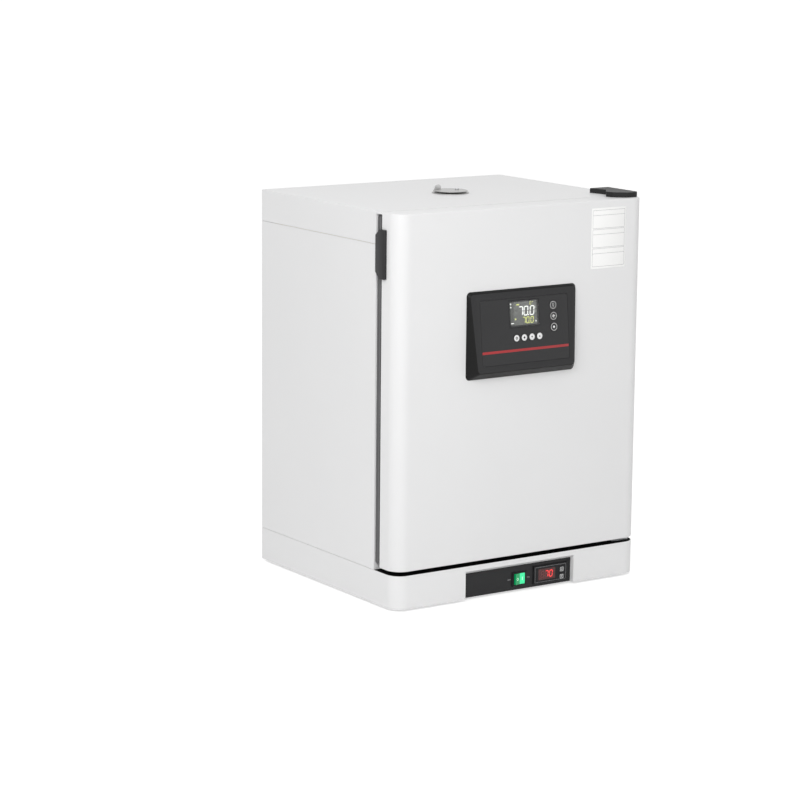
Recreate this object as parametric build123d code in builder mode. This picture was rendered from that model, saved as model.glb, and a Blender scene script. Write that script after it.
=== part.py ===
from build123d import *
import math
import os

os.makedirs("parts", exist_ok=True)

# Bench incubator. Millimetres, X to the right, Y to the rear, Z up.
# The origin is on the bench, under the middle of the whole instrument.

# Body
body_width = 552.0
body_height = 720.0
back_y = 240.0
door_front_y = -223.0
corner_radius = 28.0
sheet = 1.2
return_width = 25.0
edge_fillet = 1.5

# Clearances
seam = 0.6
fit_gap = 0.3
running_gap = 0.05
glide_gap = 0.3

# Base
foot_height = 5.0
base_top = 66.5
foot_diameter = 32.0
foot_spigot = 10.0
foot_inset = 28.0
front_foot_setback = 66.0
rear_foot_setback = 51.0
ledge_height = 4.5
ledge_left_inset = 21.0
ledge_right_inset = 19.0

# Control notch in the base
notch_left = -121.0
notch_right = 125.5
notch_top = 57.0
notch_depth = 10.0
notch_slope_drop = 6.0
subpanel_thickness = 1.5

# Cabinet
cover_depth = 59.0
door_thickness = 50.5
door_gap_depth = 19.0
lip_height = 5.0
lip_right_inset = 28.0
lip_clearance = 0.5

# Walls between the cabinet's outside and the chamber
side_wall = 66.0
roof_wall = 110.0
floor_wall = 63.5
rear_wall = 73.5
chamber_radius = 15.0
rear_insulation = 26.0

# Cabinet seal and door gasket
seal_inset = 3.0
seal_depth = 11.0
seal_width = 32.0
seal_bottom = 79.5
seal_groove = 1.6
gasket_inset = 18.0
gasket_width = 14.0
gasket_lip = 2.0

# Air system
baffle_side_gap = 20.0
baffle_end_gap = 15.0
baffle_stand_off = 27.0
impeller_diameter = 130.0
impeller_depth = 12.0
impeller_gap = 5.0
blade_count = 12
shaft_diameter = 6.0
motor_diameter = 72.0
motor_length = 32.0
motor_leg_diameter = 8.0
heater_radius = 86.0
heater_tube = 7.0
heater_tail_angle = 8.0
heater_tail_length = 6.0
probe_diameter = 5.0
probe_x = 70.0
probe_drop = 50.0
probe_length = 50.0

# Racks and shelves
rack_stand_off = 5.0
rack_thickness = 1.2
rack_front_inset = 18.0
rack_rear_gap = 15.0
rack_end_gap = 20.0
ledge_depth = 10.0
ledge_pitch = 65.0
first_ledge = 50.0
shelf_frame_rod = 5.0
shelf_cross_rod = 3.0
shelf_rod_pitch = 25.0
shelf_side_gap = 2.5
lamp_diameter = 40.0
lamp_height = 9.0
lamp_side_gap = 90.0
lamp_front_gap = 93.5

# Roof vent
vent_from_back = 225.2
vent_flange_diameter = 70.0
vent_flange_thickness = 1.5
vent_tube_diameter = 34.0
vent_tube_wall = 1.5
vent_collar_height = 2.0
vent_disc_diameter = 65.0
vent_disc_thickness = 1.2
vent_pivot_x = 19.0
vent_pivot_y = 6.0
vent_pivot_diameter = 5.0
vent_tab_width = 21.0
vent_tab_height = 8.5
vent_tab_angle = 108.0

# Door hinge
pivot_inset = 16.0
pivot_setback = 30.0
pin_diameter = 8.0
pin_engagement = 22.0
bracket_thickness = 4.0
bracket_width = 20.0
bracket_reach = 76.0
hinge_cover_height = 9.0
hinge_cover_wall = 1.5
hinge_plate_thickness = 4.0
bearing_diameter = 26.0
bearing_spigot = 14.0
bearing_height = 26.0

# Door
door_bottom = 74.0
door_top_gap = 0.6
door_sheet = 1.5
door_edge_fillet = 2.0
handle_top_gap = 31.0
handle_height = 88.0
handle_proud = 6.5
handle_plate_depth = 15.0
handle_wing_drop = 11.0
handle_wing_wall = 2.5
handle_wing_gap = 1.0
label_right_gap = 46.0
label_width = 79.0
label_top_gap = 14.0
label_height = 112.0
label_thickness = 0.3

# Control housing on the door
panel_x = -5.7
panel_top_gap = 148.5
panel_width = 243.6
panel_height = 160.5
panel_corner = 8.0
panel_proud_top = 5.5
panel_proud_bottom = 20.5
panel_draft = 0.65
panel_wall = 2.5
panel_skin = 2.0
overlay_width = 195.0
overlay_bottom = 13.0
overlay_height = 118.0
overlay_corner = 4.0
overlay_thickness = 1.0
display_x = -0.9
display_up = 102.5
display_width = 65.5
display_height = 47.5
display_depth = 5.0
display_border = 2.5
key_diameter = 13.0
key_row_x = 5.5
key_row_up = 58.5
key_pitch = 17.2
side_key_diameter = 15.5
side_key_x = 64.5
side_key_up = 92.5
side_key_pitch = 20.0
key_proud = 0.8
key_flange = 1.2
key_stem = 4.0
key_stem_length = 3.0
board_thickness = 1.6
board_margin = 7.0
box_depth = 26.0
box_wall = 1.5
cutout_side_margin = 30.0
cutout_low_margin = 44.0
cutout_high_margin = 6.0

# Glass inner door
glass_overlap = 8.0
glass_thickness = 5.0
glass_stand_off = 1.7
glass_pivot_gap = 8.0
glass_pivot_front = 3.3
glass_pin = 4.0
knuckle_diameter = 9.0
knuckle_height = 30.0
clamp_width = 28.0
clamp_thickness = 3.0
glass_hinge_inset = 70.0
ear_height = 4.0
glass_knob_diameter = 20.0
glass_knob_height = 6.0
glass_knob_inset = 22.0

# Mains rocker switch
switch_x = 6.75
switch_z = 25.3
switch_bezel_width = 32.5
switch_bezel_height = 27.0
switch_bezel_proud = 2.2
switch_body_depth = 26.0
rocker_width = 22.4
rocker_height = 20.5
rocker_tilt = 8.0
rocker_pivot = 1.5

# Limit thermostat
thermostat_x = 77.5
thermostat_z = 27.0
thermostat_width = 77.0
thermostat_height = 34.5
thermostat_proud = 3.0
thermostat_body_depth = 45.0
thermostat_lip = 3.0
window_x = -8.6
window_width = 38.8
window_height = 21.0
window_thickness = 1.2
button_x = 25.5
button_size = 9.6
button_centre_drop = 2.3
button_spacing = 13.9
button_proud = 1.0
button_depth = 3.5
button_travel = 0.8

# Base electrics
power_board_length = 160.0
power_board_width = 110.0
power_board_x = 40.0
power_board_y = 20.0
post_height = 8.0
post_diameter = 7.0
transformer_x = -150.0
transformer_y = 60.0
inlet_x = 150.0
inlet_z = 36.0
inlet_width = 47.0
inlet_height = 27.0
inlet_flange = 4.5
inlet_flange_thickness = 2.5
inlet_depth = 28.0
screw_diameter = 4.0
screw_head = 7.5
screw_head_height = 2.2

# Levels and places worked out from the driving sizes
half_width = body_width / 2
door_rear_y = door_front_y + door_thickness
cabinet_front_y = door_rear_y + door_gap_depth
chamber_width = body_width - 2 * side_wall
chamber_floor = base_top + floor_wall
chamber_height = body_height - roof_wall - chamber_floor
chamber_depth = back_y - rear_wall - cabinet_front_y
fan_z = chamber_floor + chamber_height / 2
foot_x = half_width - foot_inset
front_foot_y = door_front_y + front_foot_setback
rear_foot_y = back_y - rear_foot_setback
ledge_left = -half_width + ledge_left_inset
ledge_right = half_width - ledge_right_inset
lip_right = half_width - lip_right_inset
vent_y = back_y - vent_from_back
pivot_x = half_width - pivot_inset
pivot_y = door_front_y + pivot_setback
bracket_rear_y = pivot_y + bracket_reach
handle_bottom = body_height - handle_top_gap - handle_height
label_left = half_width - label_right_gap - label_width
label_bottom = body_height - label_top_gap - label_height
panel_bottom = body_height - panel_top_gap - panel_height
panel_bottom_edge = base_top + seam
cover_bottom = body_height - cover_depth
panel_top_edge = cover_bottom - seam
chamber_half = chamber_width / 2
chamber_top = chamber_floor + chamber_height
chamber_back_y = cabinet_front_y + chamber_depth
chamber_outer_back = chamber_back_y + sheet
insulation_back_y = chamber_outer_back + fit_gap + rear_insulation
inner_back_y = back_y - sheet
frame_half = half_width - return_width - fit_gap
baffle_y = chamber_back_y - baffle_stand_off
impeller_back_y = chamber_back_y - impeller_gap
impeller_front_y = impeller_back_y - impeller_depth
heater_y = (impeller_back_y + impeller_front_y) / 2
heater_tail_x = heater_radius * math.sin(math.radians(heater_tail_angle))
heater_tail_z = fan_z - heater_radius * math.cos(math.radians(heater_tail_angle))
seal_half = half_width - seal_inset
seal_top = body_height - lip_height - gasket_lip
seal_front_y = cabinet_front_y - seal_depth
door_top = body_height - door_top_gap
probe_z = chamber_top - probe_drop
rack_bottom = chamber_floor + rack_end_gap
rack_top = chamber_top - rack_end_gap
rack_inner = chamber_half - rack_stand_off - rack_thickness
rack_front = cabinet_front_y + rack_front_inset
rack_rear = baffle_y - rack_rear_gap
disc_z = body_height + vent_flange_thickness + vent_collar_height + glide_gap
subpanel_y = door_front_y + notch_depth
floor_z = foot_height + sheet


# Shared shapes

def block(x, y, z, mode=Mode.ADD):
    """Box between two limits along each axis."""
    with Locations(((x[0] + x[1]) / 2, (y[0] + y[1]) / 2, (z[0] + z[1]) / 2)):
        Box(x[1] - x[0], y[1] - y[0], z[1] - z[0], mode=mode)


def about(centre, half):
    """Limits of a span from its centre and half its length."""
    return (centre - half, centre + half)


def rod(radius, start, end, mode=Mode.ADD):
    """Round bar from one point to another."""
    axis = Vector(*end) - Vector(*start)
    with Locations(Plane(origin=start, z_dir=axis)):
        Cylinder(
            radius, axis.length, align=(Align.CENTER, Align.CENTER, Align.MIN), mode=mode
        )


def front_plane(y):
    """Plane that faces the front, with X to the right and Z up."""
    return Plane.XZ.offset(-y)


def body_plan(inset, rear_y):
    """Plan of the body: round corners in front, square ones at the rear."""
    with BuildSketch() as plan:
        with Locations((0, (door_front_y + inset + rear_y) / 2)):
            Rectangle(body_width - 2 * inset, rear_y - door_front_y - inset)
        fillet(plan.vertices().group_by(Axis.Y)[0], radius=corner_radius - inset)
    return plan.sketch


# Base skirt: folded tray with the control notch in its front
with BuildPart() as base_skirt:
    with BuildSketch(Plane.XY.offset(foot_height)):
        add(body_plan(0, back_y))
    extrude(amount=base_top - foot_height)
    with BuildSketch(Plane.XY.offset(floor_z)):
        add(body_plan(sheet, inner_back_y))
    extrude(amount=base_top - floor_z, mode=Mode.SUBTRACT)
    block(
        (ledge_left, ledge_right),
        (door_front_y, door_front_y + sheet),
        (base_top - ledge_height, base_top),
        mode=Mode.SUBTRACT,
    )
    block(
        (notch_left - sheet, notch_right + sheet),
        (door_front_y, subpanel_y + subpanel_thickness),
        (foot_height, notch_top + sheet),
    )
    block(
        (notch_left, notch_right),
        (door_front_y, subpanel_y + subpanel_thickness),
        (foot_height, notch_top),
        mode=Mode.SUBTRACT,
    )
    with BuildSketch(Plane.YZ.offset(notch_left)):
        Polygon(
            (door_front_y, notch_top),
            (subpanel_y, notch_top),
            (subpanel_y, notch_top - notch_slope_drop),
            align=None,
        )
    extrude(amount=notch_right - notch_left)
    with Locations(
        (-foot_x, front_foot_y, foot_height),
        (foot_x, front_foot_y, foot_height),
        (-foot_x, rear_foot_y, foot_height),
        (foot_x, rear_foot_y, foot_height),
    ):
        Cylinder(foot_spigot / 2 + running_gap, 4 * sheet, mode=Mode.SUBTRACT)
    with BuildSketch(Plane.XY.offset(foot_height)):
        with Locations((power_board_x, power_board_y)):
            with GridLocations(50, 12, 3, 6):
                SlotOverall(38, 4)
    extrude(amount=sheet, mode=Mode.SUBTRACT)
    block(
        about(inlet_x, inlet_width / 2 + fit_gap),
        (inner_back_y, back_y),
        about(inlet_z, inlet_height / 2 + fit_gap),
        mode=Mode.SUBTRACT,
    )
base_skirt.part.label = "base_skirt"
export_step(base_skirt.part, "parts/base_skirt.step")

# Base deck: closes the base and carries the cabinet
deck_inset = sheet + fit_gap
with BuildPart() as base_deck:
    with BuildSketch(Plane.XY.offset(base_top - sheet)):
        add(body_plan(deck_inset, inner_back_y - fit_gap))
    extrude(amount=sheet)
    block(
        (ledge_left + corner_radius, ledge_right - corner_radius),
        (door_front_y + deck_inset, door_front_y + deck_inset + sheet),
        (base_top - ledge_height - sheet, base_top),
    )
    with Locations((0, inner_back_y - 30, base_top)):
        Cylinder(12, 4 * sheet, mode=Mode.SUBTRACT)
base_deck.part.label = "base_deck"
export_step(base_deck.part, "parts/base_deck.step")

# Feet: rubber discs on spigots
with BuildPart() as feet:
    with Locations(
        (-foot_x, front_foot_y), (foot_x, front_foot_y), (-foot_x, rear_foot_y), (foot_x, rear_foot_y)
    ):
        Cylinder(foot_diameter / 2, foot_height, align=(Align.CENTER, Align.CENTER, Align.MIN))
        Cylinder(foot_spigot / 2, floor_z + 3, align=(Align.CENTER, Align.CENTER, Align.MIN))
feet.part.label = "feet"
export_step(feet.part, "parts/feet.step")

# Side panels: sheets folded inwards at the front and the rear
panel_screw_x = half_width - return_width / 2
panel_screw_z = [
    panel_bottom_edge + 25 + i * (panel_top_edge - panel_bottom_edge - 50) / 3 for i in range(4)
]
return_rear_y = inner_back_y - fit_gap
for side, name in ((-1, "left_side_panel"), (1, "right_side_panel")):
    with BuildPart() as side_panel:
        outer = side * half_width
        skin = sorted((outer, outer - side * sheet))
        fold = sorted((outer, outer - side * return_width))
        height = (panel_bottom_edge, panel_top_edge)
        block(skin, (cabinet_front_y, back_y), height)
        block(fold, (cabinet_front_y, cabinet_front_y + sheet), height)
        block(fold, (return_rear_y - sheet, return_rear_y), height)
        with BuildSketch(front_plane(return_rear_y)):
            with Locations(*[(side * panel_screw_x, z) for z in panel_screw_z]):
                Circle(screw_diameter / 2 + running_gap)
        extrude(amount=sheet, mode=Mode.SUBTRACT)
    side_panel.part.label = name
    export_step(side_panel.part, f"parts/{name}.step")

# Top cover: tray over the cabinet with a lip above the door gap
bracket_screw_y = (bracket_rear_y - 8, bracket_rear_y - 24)
with BuildPart() as top_cover:
    block((-half_width, half_width), (cabinet_front_y, back_y), (cover_bottom, body_height))
    fillet(top_cover.edges().group_by(Axis.Z)[-1].sort_by(Axis.Y)[1:], radius=edge_fillet)
    block(
        about(0, half_width - sheet),
        (cabinet_front_y + sheet, inner_back_y),
        (cover_bottom, body_height - sheet),
        mode=Mode.SUBTRACT,
    )
    lip_front = door_rear_y + lip_clearance
    lip_z = (body_height - lip_height, body_height)
    block((-half_width, lip_right), (lip_front, cabinet_front_y), lip_z)
    block(
        (-half_width + sheet, lip_right - sheet),
        (lip_front + sheet, cabinet_front_y),
        (body_height - lip_height, body_height - sheet),
        mode=Mode.SUBTRACT,
    )
    with Locations((0, vent_y, body_height)):
        Cylinder(vent_tube_diameter / 2 + fit_gap, 4 * sheet, mode=Mode.SUBTRACT)
    with Locations(*[(pivot_x, y, body_height) for y in bracket_screw_y]):
        Cylinder(screw_diameter / 2 + running_gap, 4 * sheet, mode=Mode.SUBTRACT)
top_cover.part.label = "top_cover"
export_step(top_cover.part, "parts/top_cover.step")

# Back panel with louvre slots for the motor space
with BuildPart() as back_panel:
    block(
        about(0, half_width - sheet - fit_gap),
        (inner_back_y, back_y),
        (panel_bottom_edge, panel_top_edge),
    )
    with BuildSketch(front_plane(back_y)):
        for side in (-1, 1):
            with Locations(*[(side * panel_screw_x, z) for z in panel_screw_z]):
                Circle(screw_diameter / 2 + running_gap)
        for level in (-1, 1):
            with Locations((0, fan_z + level * 75)):
                with GridLocations(1, 10, 1, 5):
                    SlotOverall(120, 4)
    extrude(amount=sheet, mode=Mode.SUBTRACT)
back_panel.part.label = "back_panel"
export_step(back_panel.part, "parts/back_panel.step")

# Case screws: the back panel's and the hinge bracket's
with BuildPart() as case_screws:
    for side in (-1, 1):
        for z in panel_screw_z:
            spot = side * panel_screw_x
            rod(screw_diameter / 2, (spot, back_y, z), (spot, return_rear_y - sheet - 4, z))
            rod(screw_head / 2, (spot, back_y, z), (spot, back_y + screw_head_height, z))
    for y in bracket_screw_y:
        top = body_height + bracket_thickness
        rod(screw_diameter / 2, (pivot_x, y, top), (pivot_x, y, body_height - sheet - 4))
        rod(screw_head / 2, (pivot_x, y, top), (pivot_x, y, top + screw_head_height))
case_screws.part.label = "case_screws"
export_step(case_screws.part, "parts/case_screws.step")

# Front frame round the chamber mouth
with BuildPart() as front_frame:
    with BuildSketch(front_plane(cabinet_front_y + sheet)):
        with Locations((0, (panel_bottom_edge + panel_top_edge) / 2)):
            Rectangle(2 * frame_half, panel_top_edge - panel_bottom_edge)
        with Locations((0, chamber_floor + chamber_height / 2)):
            RectangleRounded(chamber_width, chamber_height, chamber_radius, mode=Mode.SUBTRACT)
    extrude(amount=sheet)
front_frame.part.label = "front_frame"
export_step(front_frame.part, "parts/front_frame.step")

# Inner chamber: round-cornered tub, open to the front
heater_tails = (-heater_tail_x, heater_tail_x)
chamber_mid = chamber_floor + chamber_height / 2
with BuildPart() as inner_chamber:
    with BuildSketch(front_plane(chamber_outer_back)):
        with Locations((0, chamber_mid)):
            RectangleRounded(
                chamber_width + 2 * sheet, chamber_height + 2 * sheet, chamber_radius + sheet
            )
    extrude(amount=chamber_outer_back - cabinet_front_y - sheet)
    with BuildSketch(front_plane(chamber_back_y)):
        with Locations((0, chamber_mid)):
            RectangleRounded(chamber_width, chamber_height, chamber_radius)
    extrude(amount=chamber_depth, mode=Mode.SUBTRACT)
    rod(shaft_diameter, (0, chamber_back_y, fan_z), (0, chamber_outer_back, fan_z), Mode.SUBTRACT)
    for x in heater_tails:
        rod(
            heater_tube / 2 + fit_gap,
            (x, chamber_back_y, heater_tail_z),
            (x, chamber_outer_back, heater_tail_z),
            Mode.SUBTRACT,
        )
    for x in (-probe_x, probe_x):
        rod(
            probe_diameter / 2 + fit_gap,
            (x, chamber_back_y, probe_z),
            (x, chamber_outer_back, probe_z),
            Mode.SUBTRACT,
        )
    with Locations((0, vent_y, chamber_top)):
        Cylinder(vent_tube_diameter / 2 + fit_gap, 4 * sheet, mode=Mode.SUBTRACT)
inner_chamber.part.label = "inner_chamber"
export_step(inner_chamber.part, "parts/inner_chamber.step")

# Chamber insulation: mineral wool round the tub
leg_ring = motor_diameter / 2 + 10
motor_legs = [(sx * leg_ring * 0.72, sz * leg_ring * 0.72) for sx in (-1, 1) for sz in (-1, 1)]
with BuildPart() as chamber_insulation:
    block(
        about(0, half_width - sheet - fit_gap),
        (cabinet_front_y + sheet + fit_gap, insulation_back_y),
        (base_top + fit_gap, body_height - sheet - fit_gap),
    )
    with BuildSketch(front_plane(chamber_outer_back + fit_gap)):
        with Locations((0, chamber_mid)):
            RectangleRounded(
                chamber_width + 2 * (sheet + fit_gap),
                chamber_height + 2 * (sheet + fit_gap),
                chamber_radius + sheet + fit_gap,
            )
    extrude(amount=chamber_depth, mode=Mode.SUBTRACT)
    rear = chamber_outer_back
    rod(shaft_diameter + 2, (0, rear, fan_z), (0, insulation_back_y, fan_z), Mode.SUBTRACT)
    for x in heater_tails:
        rod(
            heater_tube / 2 + fit_gap,
            (x, rear, heater_tail_z),
            (x, insulation_back_y, heater_tail_z),
            Mode.SUBTRACT,
        )
    for x in (-probe_x, probe_x):
        rod(7.5, (x, rear, probe_z), (x, insulation_back_y, probe_z), Mode.SUBTRACT)
    for x, z in motor_legs:
        rod(
            motor_leg_diameter / 2 + fit_gap,
            (x, rear, fan_z + z),
            (x, insulation_back_y, fan_z + z),
            Mode.SUBTRACT,
        )
    rod(
        vent_tube_diameter / 2 + fit_gap,
        (0, vent_y, chamber_top),
        (0, vent_y, body_height),
        Mode.SUBTRACT,
    )
    for y in bracket_screw_y:
        rod(screw_diameter, (pivot_x, y, body_height), (pivot_x, y, body_height - 12), Mode.SUBTRACT)
chamber_insulation.part.label = "chamber_insulation"
export_step(chamber_insulation.part, "parts/chamber_insulation.step")

# Cabinet seal: grey ring in the gap behind the door, grooved round its outside
seal_mid = (seal_bottom + seal_top) / 2
seal_height = seal_top - seal_bottom
with BuildPart() as cabinet_seal:
    with BuildSketch(front_plane(cabinet_front_y)):
        with Locations((0, seal_mid)):
            RectangleRounded(2 * seal_half, seal_height, 4)
            RectangleRounded(
                2 * (seal_half - seal_width), seal_height - 2 * seal_width, 8, mode=Mode.SUBTRACT
            )
    extrude(amount=seal_depth)
    with BuildSketch(front_plane(cabinet_front_y - seal_depth / 2 + seal_groove / 2)):
        with Locations((0, seal_mid)):
            Rectangle(2 * seal_half + 2, seal_height + 2)
            RectangleRounded(
                2 * (seal_half - seal_groove), seal_height - 2 * seal_groove, 3, mode=Mode.SUBTRACT
            )
    extrude(amount=seal_groove, mode=Mode.SUBTRACT)
cabinet_seal.part.label = "cabinet_seal"
export_step(cabinet_seal.part, "parts/cabinet_seal.step")

# Rear baffle: intake grille in the middle, air leaves round its edge
with BuildPart() as rear_baffle:
    with BuildSketch(front_plane(baffle_y + sheet)):
        with Locations((0, chamber_mid)):
            Rectangle(
                chamber_width - 2 * baffle_side_gap, chamber_height - 2 * baffle_end_gap
            )
        for ring_radius, holes in ((12, 6), (26, 12), (40, 18)):
            with Locations((0, fan_z)):
                with PolarLocations(ring_radius, holes):
                    Circle(4.5, mode=Mode.SUBTRACT)
        with Locations((-probe_x, probe_z), (probe_x, probe_z)):
            Circle(probe_diameter / 2 + fit_gap, mode=Mode.SUBTRACT)
    extrude(amount=sheet)
    for sx in (-1, 1):
        for sz in (-1, 1):
            x = sx * (chamber_half - baffle_side_gap - 20)
            z = chamber_mid + sz * (chamber_height / 2 - baffle_end_gap - 20)
            rod(5, (x, baffle_y + sheet, z), (x, chamber_back_y, z))
rear_baffle.part.label = "rear_baffle"
export_step(rear_baffle.part, "parts/rear_baffle.step")

# Fan motor on its four legs behind the chamber
motor_front_y = insulation_back_y + 2
with BuildPart() as fan_motor:
    rod(motor_diameter / 2, (0, motor_front_y, fan_z), (0, motor_front_y + motor_length, fan_z))
    for x, z in motor_legs:
        rod(
            motor_leg_diameter / 2,
            (x, chamber_outer_back, fan_z + z),
            (x, motor_front_y + sheet, fan_z + z),
        )
    block(
        about(0, leg_ring),
        (motor_front_y, motor_front_y + sheet),
        about(fan_z, leg_ring),
    )
    rod(
        shaft_diameter / 2 + running_gap,
        (0, motor_front_y, fan_z),
        (0, motor_front_y + motor_length - 4, fan_z),
        Mode.SUBTRACT,
    )
fan_motor.part.label = "fan_motor"
export_step(fan_motor.part, "parts/fan_motor.step")

# Fan impeller on its shaft
with BuildPart() as fan_impeller:
    rod(
        impeller_diameter / 2,
        (0, impeller_back_y, fan_z),
        (0, impeller_back_y - sheet, fan_z),
    )
    rod(12, (0, impeller_back_y, fan_z), (0, impeller_front_y, fan_z))
    rod(
        shaft_diameter / 2,
        (0, impeller_front_y, fan_z),
        (0, motor_front_y + motor_length - 5, fan_z),
    )
    with BuildSketch(front_plane(impeller_back_y)):
        with Locations((0, fan_z)):
            with PolarLocations(impeller_diameter / 2 - 16, blade_count):
                Rectangle(28, sheet, rotation=35)
    extrude(amount=impeller_depth)
fan_impeller.part.label = "fan_impeller"
export_step(fan_impeller.part, "parts/fan_impeller.step")

# Ring heater round the impeller, its two tails through the chamber's back
with BuildPart() as heater_element:
    with BuildLine(front_plane(heater_y)) as heater_line:
        CenterArc(
            (0, fan_z), heater_radius, -90 + heater_tail_angle, 360 - 2 * heater_tail_angle
        )
    with BuildSketch(heater_line.line ^ 0):
        Circle(heater_tube / 2)
    sweep()
    for x in heater_tails:
        with Locations((x, heater_y, heater_tail_z)):
            Sphere(heater_tube / 2 + fit_gap)
        rod(
            heater_tube / 2,
            (x, heater_y, heater_tail_z),
            (x, insulation_back_y + heater_tail_length, heater_tail_z),
        )
heater_element.part.label = "heater_element"
export_step(heater_element.part, "parts/heater_element.step")

# Two sensor probes: control and limit
with BuildPart() as sensor_probes:
    for x in (-probe_x, probe_x):
        rod(
            probe_diameter / 2,
            (x, chamber_outer_back - probe_length, probe_z),
            (x, insulation_back_y, probe_z),
        )
        rod(6.5, (x, chamber_outer_back, probe_z), (x, chamber_outer_back + 4, probe_z))
sensor_probes.part.label = "sensor_probes"
export_step(sensor_probes.part, "parts/sensor_probes.step")

# Shelf racks: slotted side plates with ledges
ledge_count = int((rack_top - chamber_floor - first_ledge) / ledge_pitch)
ledge_levels = [chamber_floor + first_ledge + i * ledge_pitch for i in range(ledge_count)]
rack_mid_y = (rack_front + rack_rear) / 2
with BuildPart() as shelf_racks:
    for side in (-1, 1):
        plate = sorted((side * rack_inner, side * (rack_inner + rack_thickness)))
        ledge = sorted((side * rack_inner, side * (rack_inner - ledge_depth)))
        block(plate, (rack_front, rack_rear), (rack_bottom, rack_top))
        for z in ledge_levels:
            block(ledge, (rack_front, rack_rear), (z - rack_thickness, z))
        for y in (rack_front + 20, rack_rear - 20):
            for z in (rack_bottom + 12, rack_top - 12):
                foot = side * (rack_inner + rack_thickness)
                rod(4, (foot, y, z), (side * chamber_half, y, z))
        for z in ledge_levels:
            with Locations((side * rack_inner, rack_mid_y, z + ledge_pitch / 2)):
                with GridLocations(1, 45, 1, 5):
                    Box(6 * rack_thickness, 28, 30, mode=Mode.SUBTRACT)
shelf_racks.part.label = "shelf_racks"
export_step(shelf_racks.part, "parts/shelf_racks.step")

# Two wire shelves resting on the ledges
shelf_half = rack_inner - shelf_side_gap - shelf_frame_rod / 2
shelf_front = rack_front + shelf_frame_rod
shelf_rear = rack_rear - shelf_frame_rod
shelf_rods = int(2 * shelf_half / shelf_rod_pitch) - 1
with BuildPart() as wire_shelves:
    frame_radius = shelf_frame_rod / 2
    for level in (ledge_levels[1], ledge_levels[-2]):
        z = level + fit_gap + frame_radius
        for y in (shelf_front, shelf_rear, rack_mid_y):
            rod(frame_radius, (-shelf_half, y, z), (shelf_half, y, z))
        for x in (-shelf_half, shelf_half):
            rod(frame_radius, (x, shelf_front, z), (x, shelf_rear, z))
            for y in (shelf_front, shelf_rear):
                with Locations((x, y, z)):
                    Sphere(frame_radius + running_gap)
        for i in range(shelf_rods):
            x = (i - (shelf_rods - 1) / 2) * shelf_rod_pitch
            rod(shelf_cross_rod / 2, (x, shelf_front, z), (x, shelf_rear, z))
wire_shelves.part.label = "wire_shelves"
export_step(wire_shelves.part, "parts/wire_shelves.step")

# Chamber lamp on the ceiling
with BuildPart() as chamber_lamp:
    with Locations((-chamber_half + lamp_side_gap, cabinet_front_y + lamp_front_gap, chamber_top)):
        Cylinder(lamp_diameter / 2, lamp_height, align=(Align.CENTER, Align.CENTER, Align.MAX))
    fillet(chamber_lamp.edges().group_by(Axis.Z)[0], radius=2)
chamber_lamp.part.label = "chamber_lamp"
export_step(chamber_lamp.part, "parts/chamber_lamp.step")

# Vent tube from the chamber to the roof, with its flange and the disc's stud
pivot_spot = (vent_pivot_x, vent_y + vent_pivot_y)
flange_top = body_height + vent_flange_thickness
tube_top = flange_top + vent_collar_height
stud_radius = vent_pivot_diameter / 2
collar_radius = stud_radius + 1.6
head_z = disc_z + vent_disc_thickness + glide_gap
with BuildPart() as vent_tube:
    rod(vent_flange_diameter / 2, (0, vent_y, body_height), (0, vent_y, flange_top))
    rod(vent_tube_diameter / 2, (0, vent_y, chamber_top), (0, vent_y, tube_top))
    rod(stud_radius, (*pivot_spot, flange_top), (*pivot_spot, head_z))
    rod(collar_radius, (*pivot_spot, flange_top), (*pivot_spot, tube_top))
    rod(collar_radius, (*pivot_spot, head_z), (*pivot_spot, head_z + 1.6))
    rod(
        vent_tube_diameter / 2 - vent_tube_wall,
        (0, vent_y, chamber_top),
        (0, vent_y, tube_top),
        Mode.SUBTRACT,
    )
vent_tube.part.label = "vent_tube"
export_step(vent_tube.part, "parts/vent_tube.step")

# Vent disc with its turned-up tab
tab_direction = math.radians(vent_tab_angle)
tab_reach = vent_disc_diameter / 2 - 1.5
tab_plane = Plane(
    origin=(
        tab_reach * math.cos(tab_direction),
        vent_y + tab_reach * math.sin(tab_direction),
        disc_z + vent_disc_thickness,
    ),
    x_dir=(-math.sin(tab_direction), math.cos(tab_direction), 0),
    z_dir=(math.cos(tab_direction), math.sin(tab_direction), 0),
)
with BuildPart() as vent_disc:
    rod(vent_disc_diameter / 2, (0, vent_y, disc_z), (0, vent_y, disc_z + vent_disc_thickness))
    with BuildSketch(tab_plane) as tab:
        with Locations((0, -vent_disc_thickness / 2)):
            Rectangle(
                vent_tab_width,
                vent_tab_height + vent_disc_thickness / 2,
                align=(Align.CENTER, Align.MIN),
            )
        fillet(tab.vertices().group_by(Axis.Y)[-1], radius=vent_tab_height * 0.8)
    extrude(amount=-vent_disc_thickness)
    rod(
        stud_radius + running_gap,
        (*pivot_spot, disc_z),
        (*pivot_spot, disc_z + vent_disc_thickness),
        Mode.SUBTRACT,
    )
vent_disc.part.label = "vent_disc"
export_step(vent_disc.part, "parts/vent_disc.step")

# Upper hinge bracket: arm from the roof to above the door's pivot
bracket_top = body_height + bracket_thickness
with BuildPart() as upper_hinge_bracket:
    block(
        about(pivot_x, bracket_width / 2),
        (pivot_y, bracket_rear_y),
        (body_height, bracket_top),
    )
    rod(bracket_width / 2, (pivot_x, pivot_y, body_height), (pivot_x, pivot_y, bracket_top))
    pin_hole = pin_diameter / 2 + running_gap
    rod(
        pin_hole,
        (pivot_x, pivot_y, body_height),
        (pivot_x, pivot_y, bracket_top),
        Mode.SUBTRACT,
    )
    for y in bracket_screw_y:
        rod(
            screw_diameter / 2 + running_gap,
            (pivot_x, y, body_height),
            (pivot_x, y, bracket_top),
            Mode.SUBTRACT,
        )
upper_hinge_bracket.part.label = "upper_hinge_bracket"
export_step(upper_hinge_bracket.part, "parts/upper_hinge_bracket.step")

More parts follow.
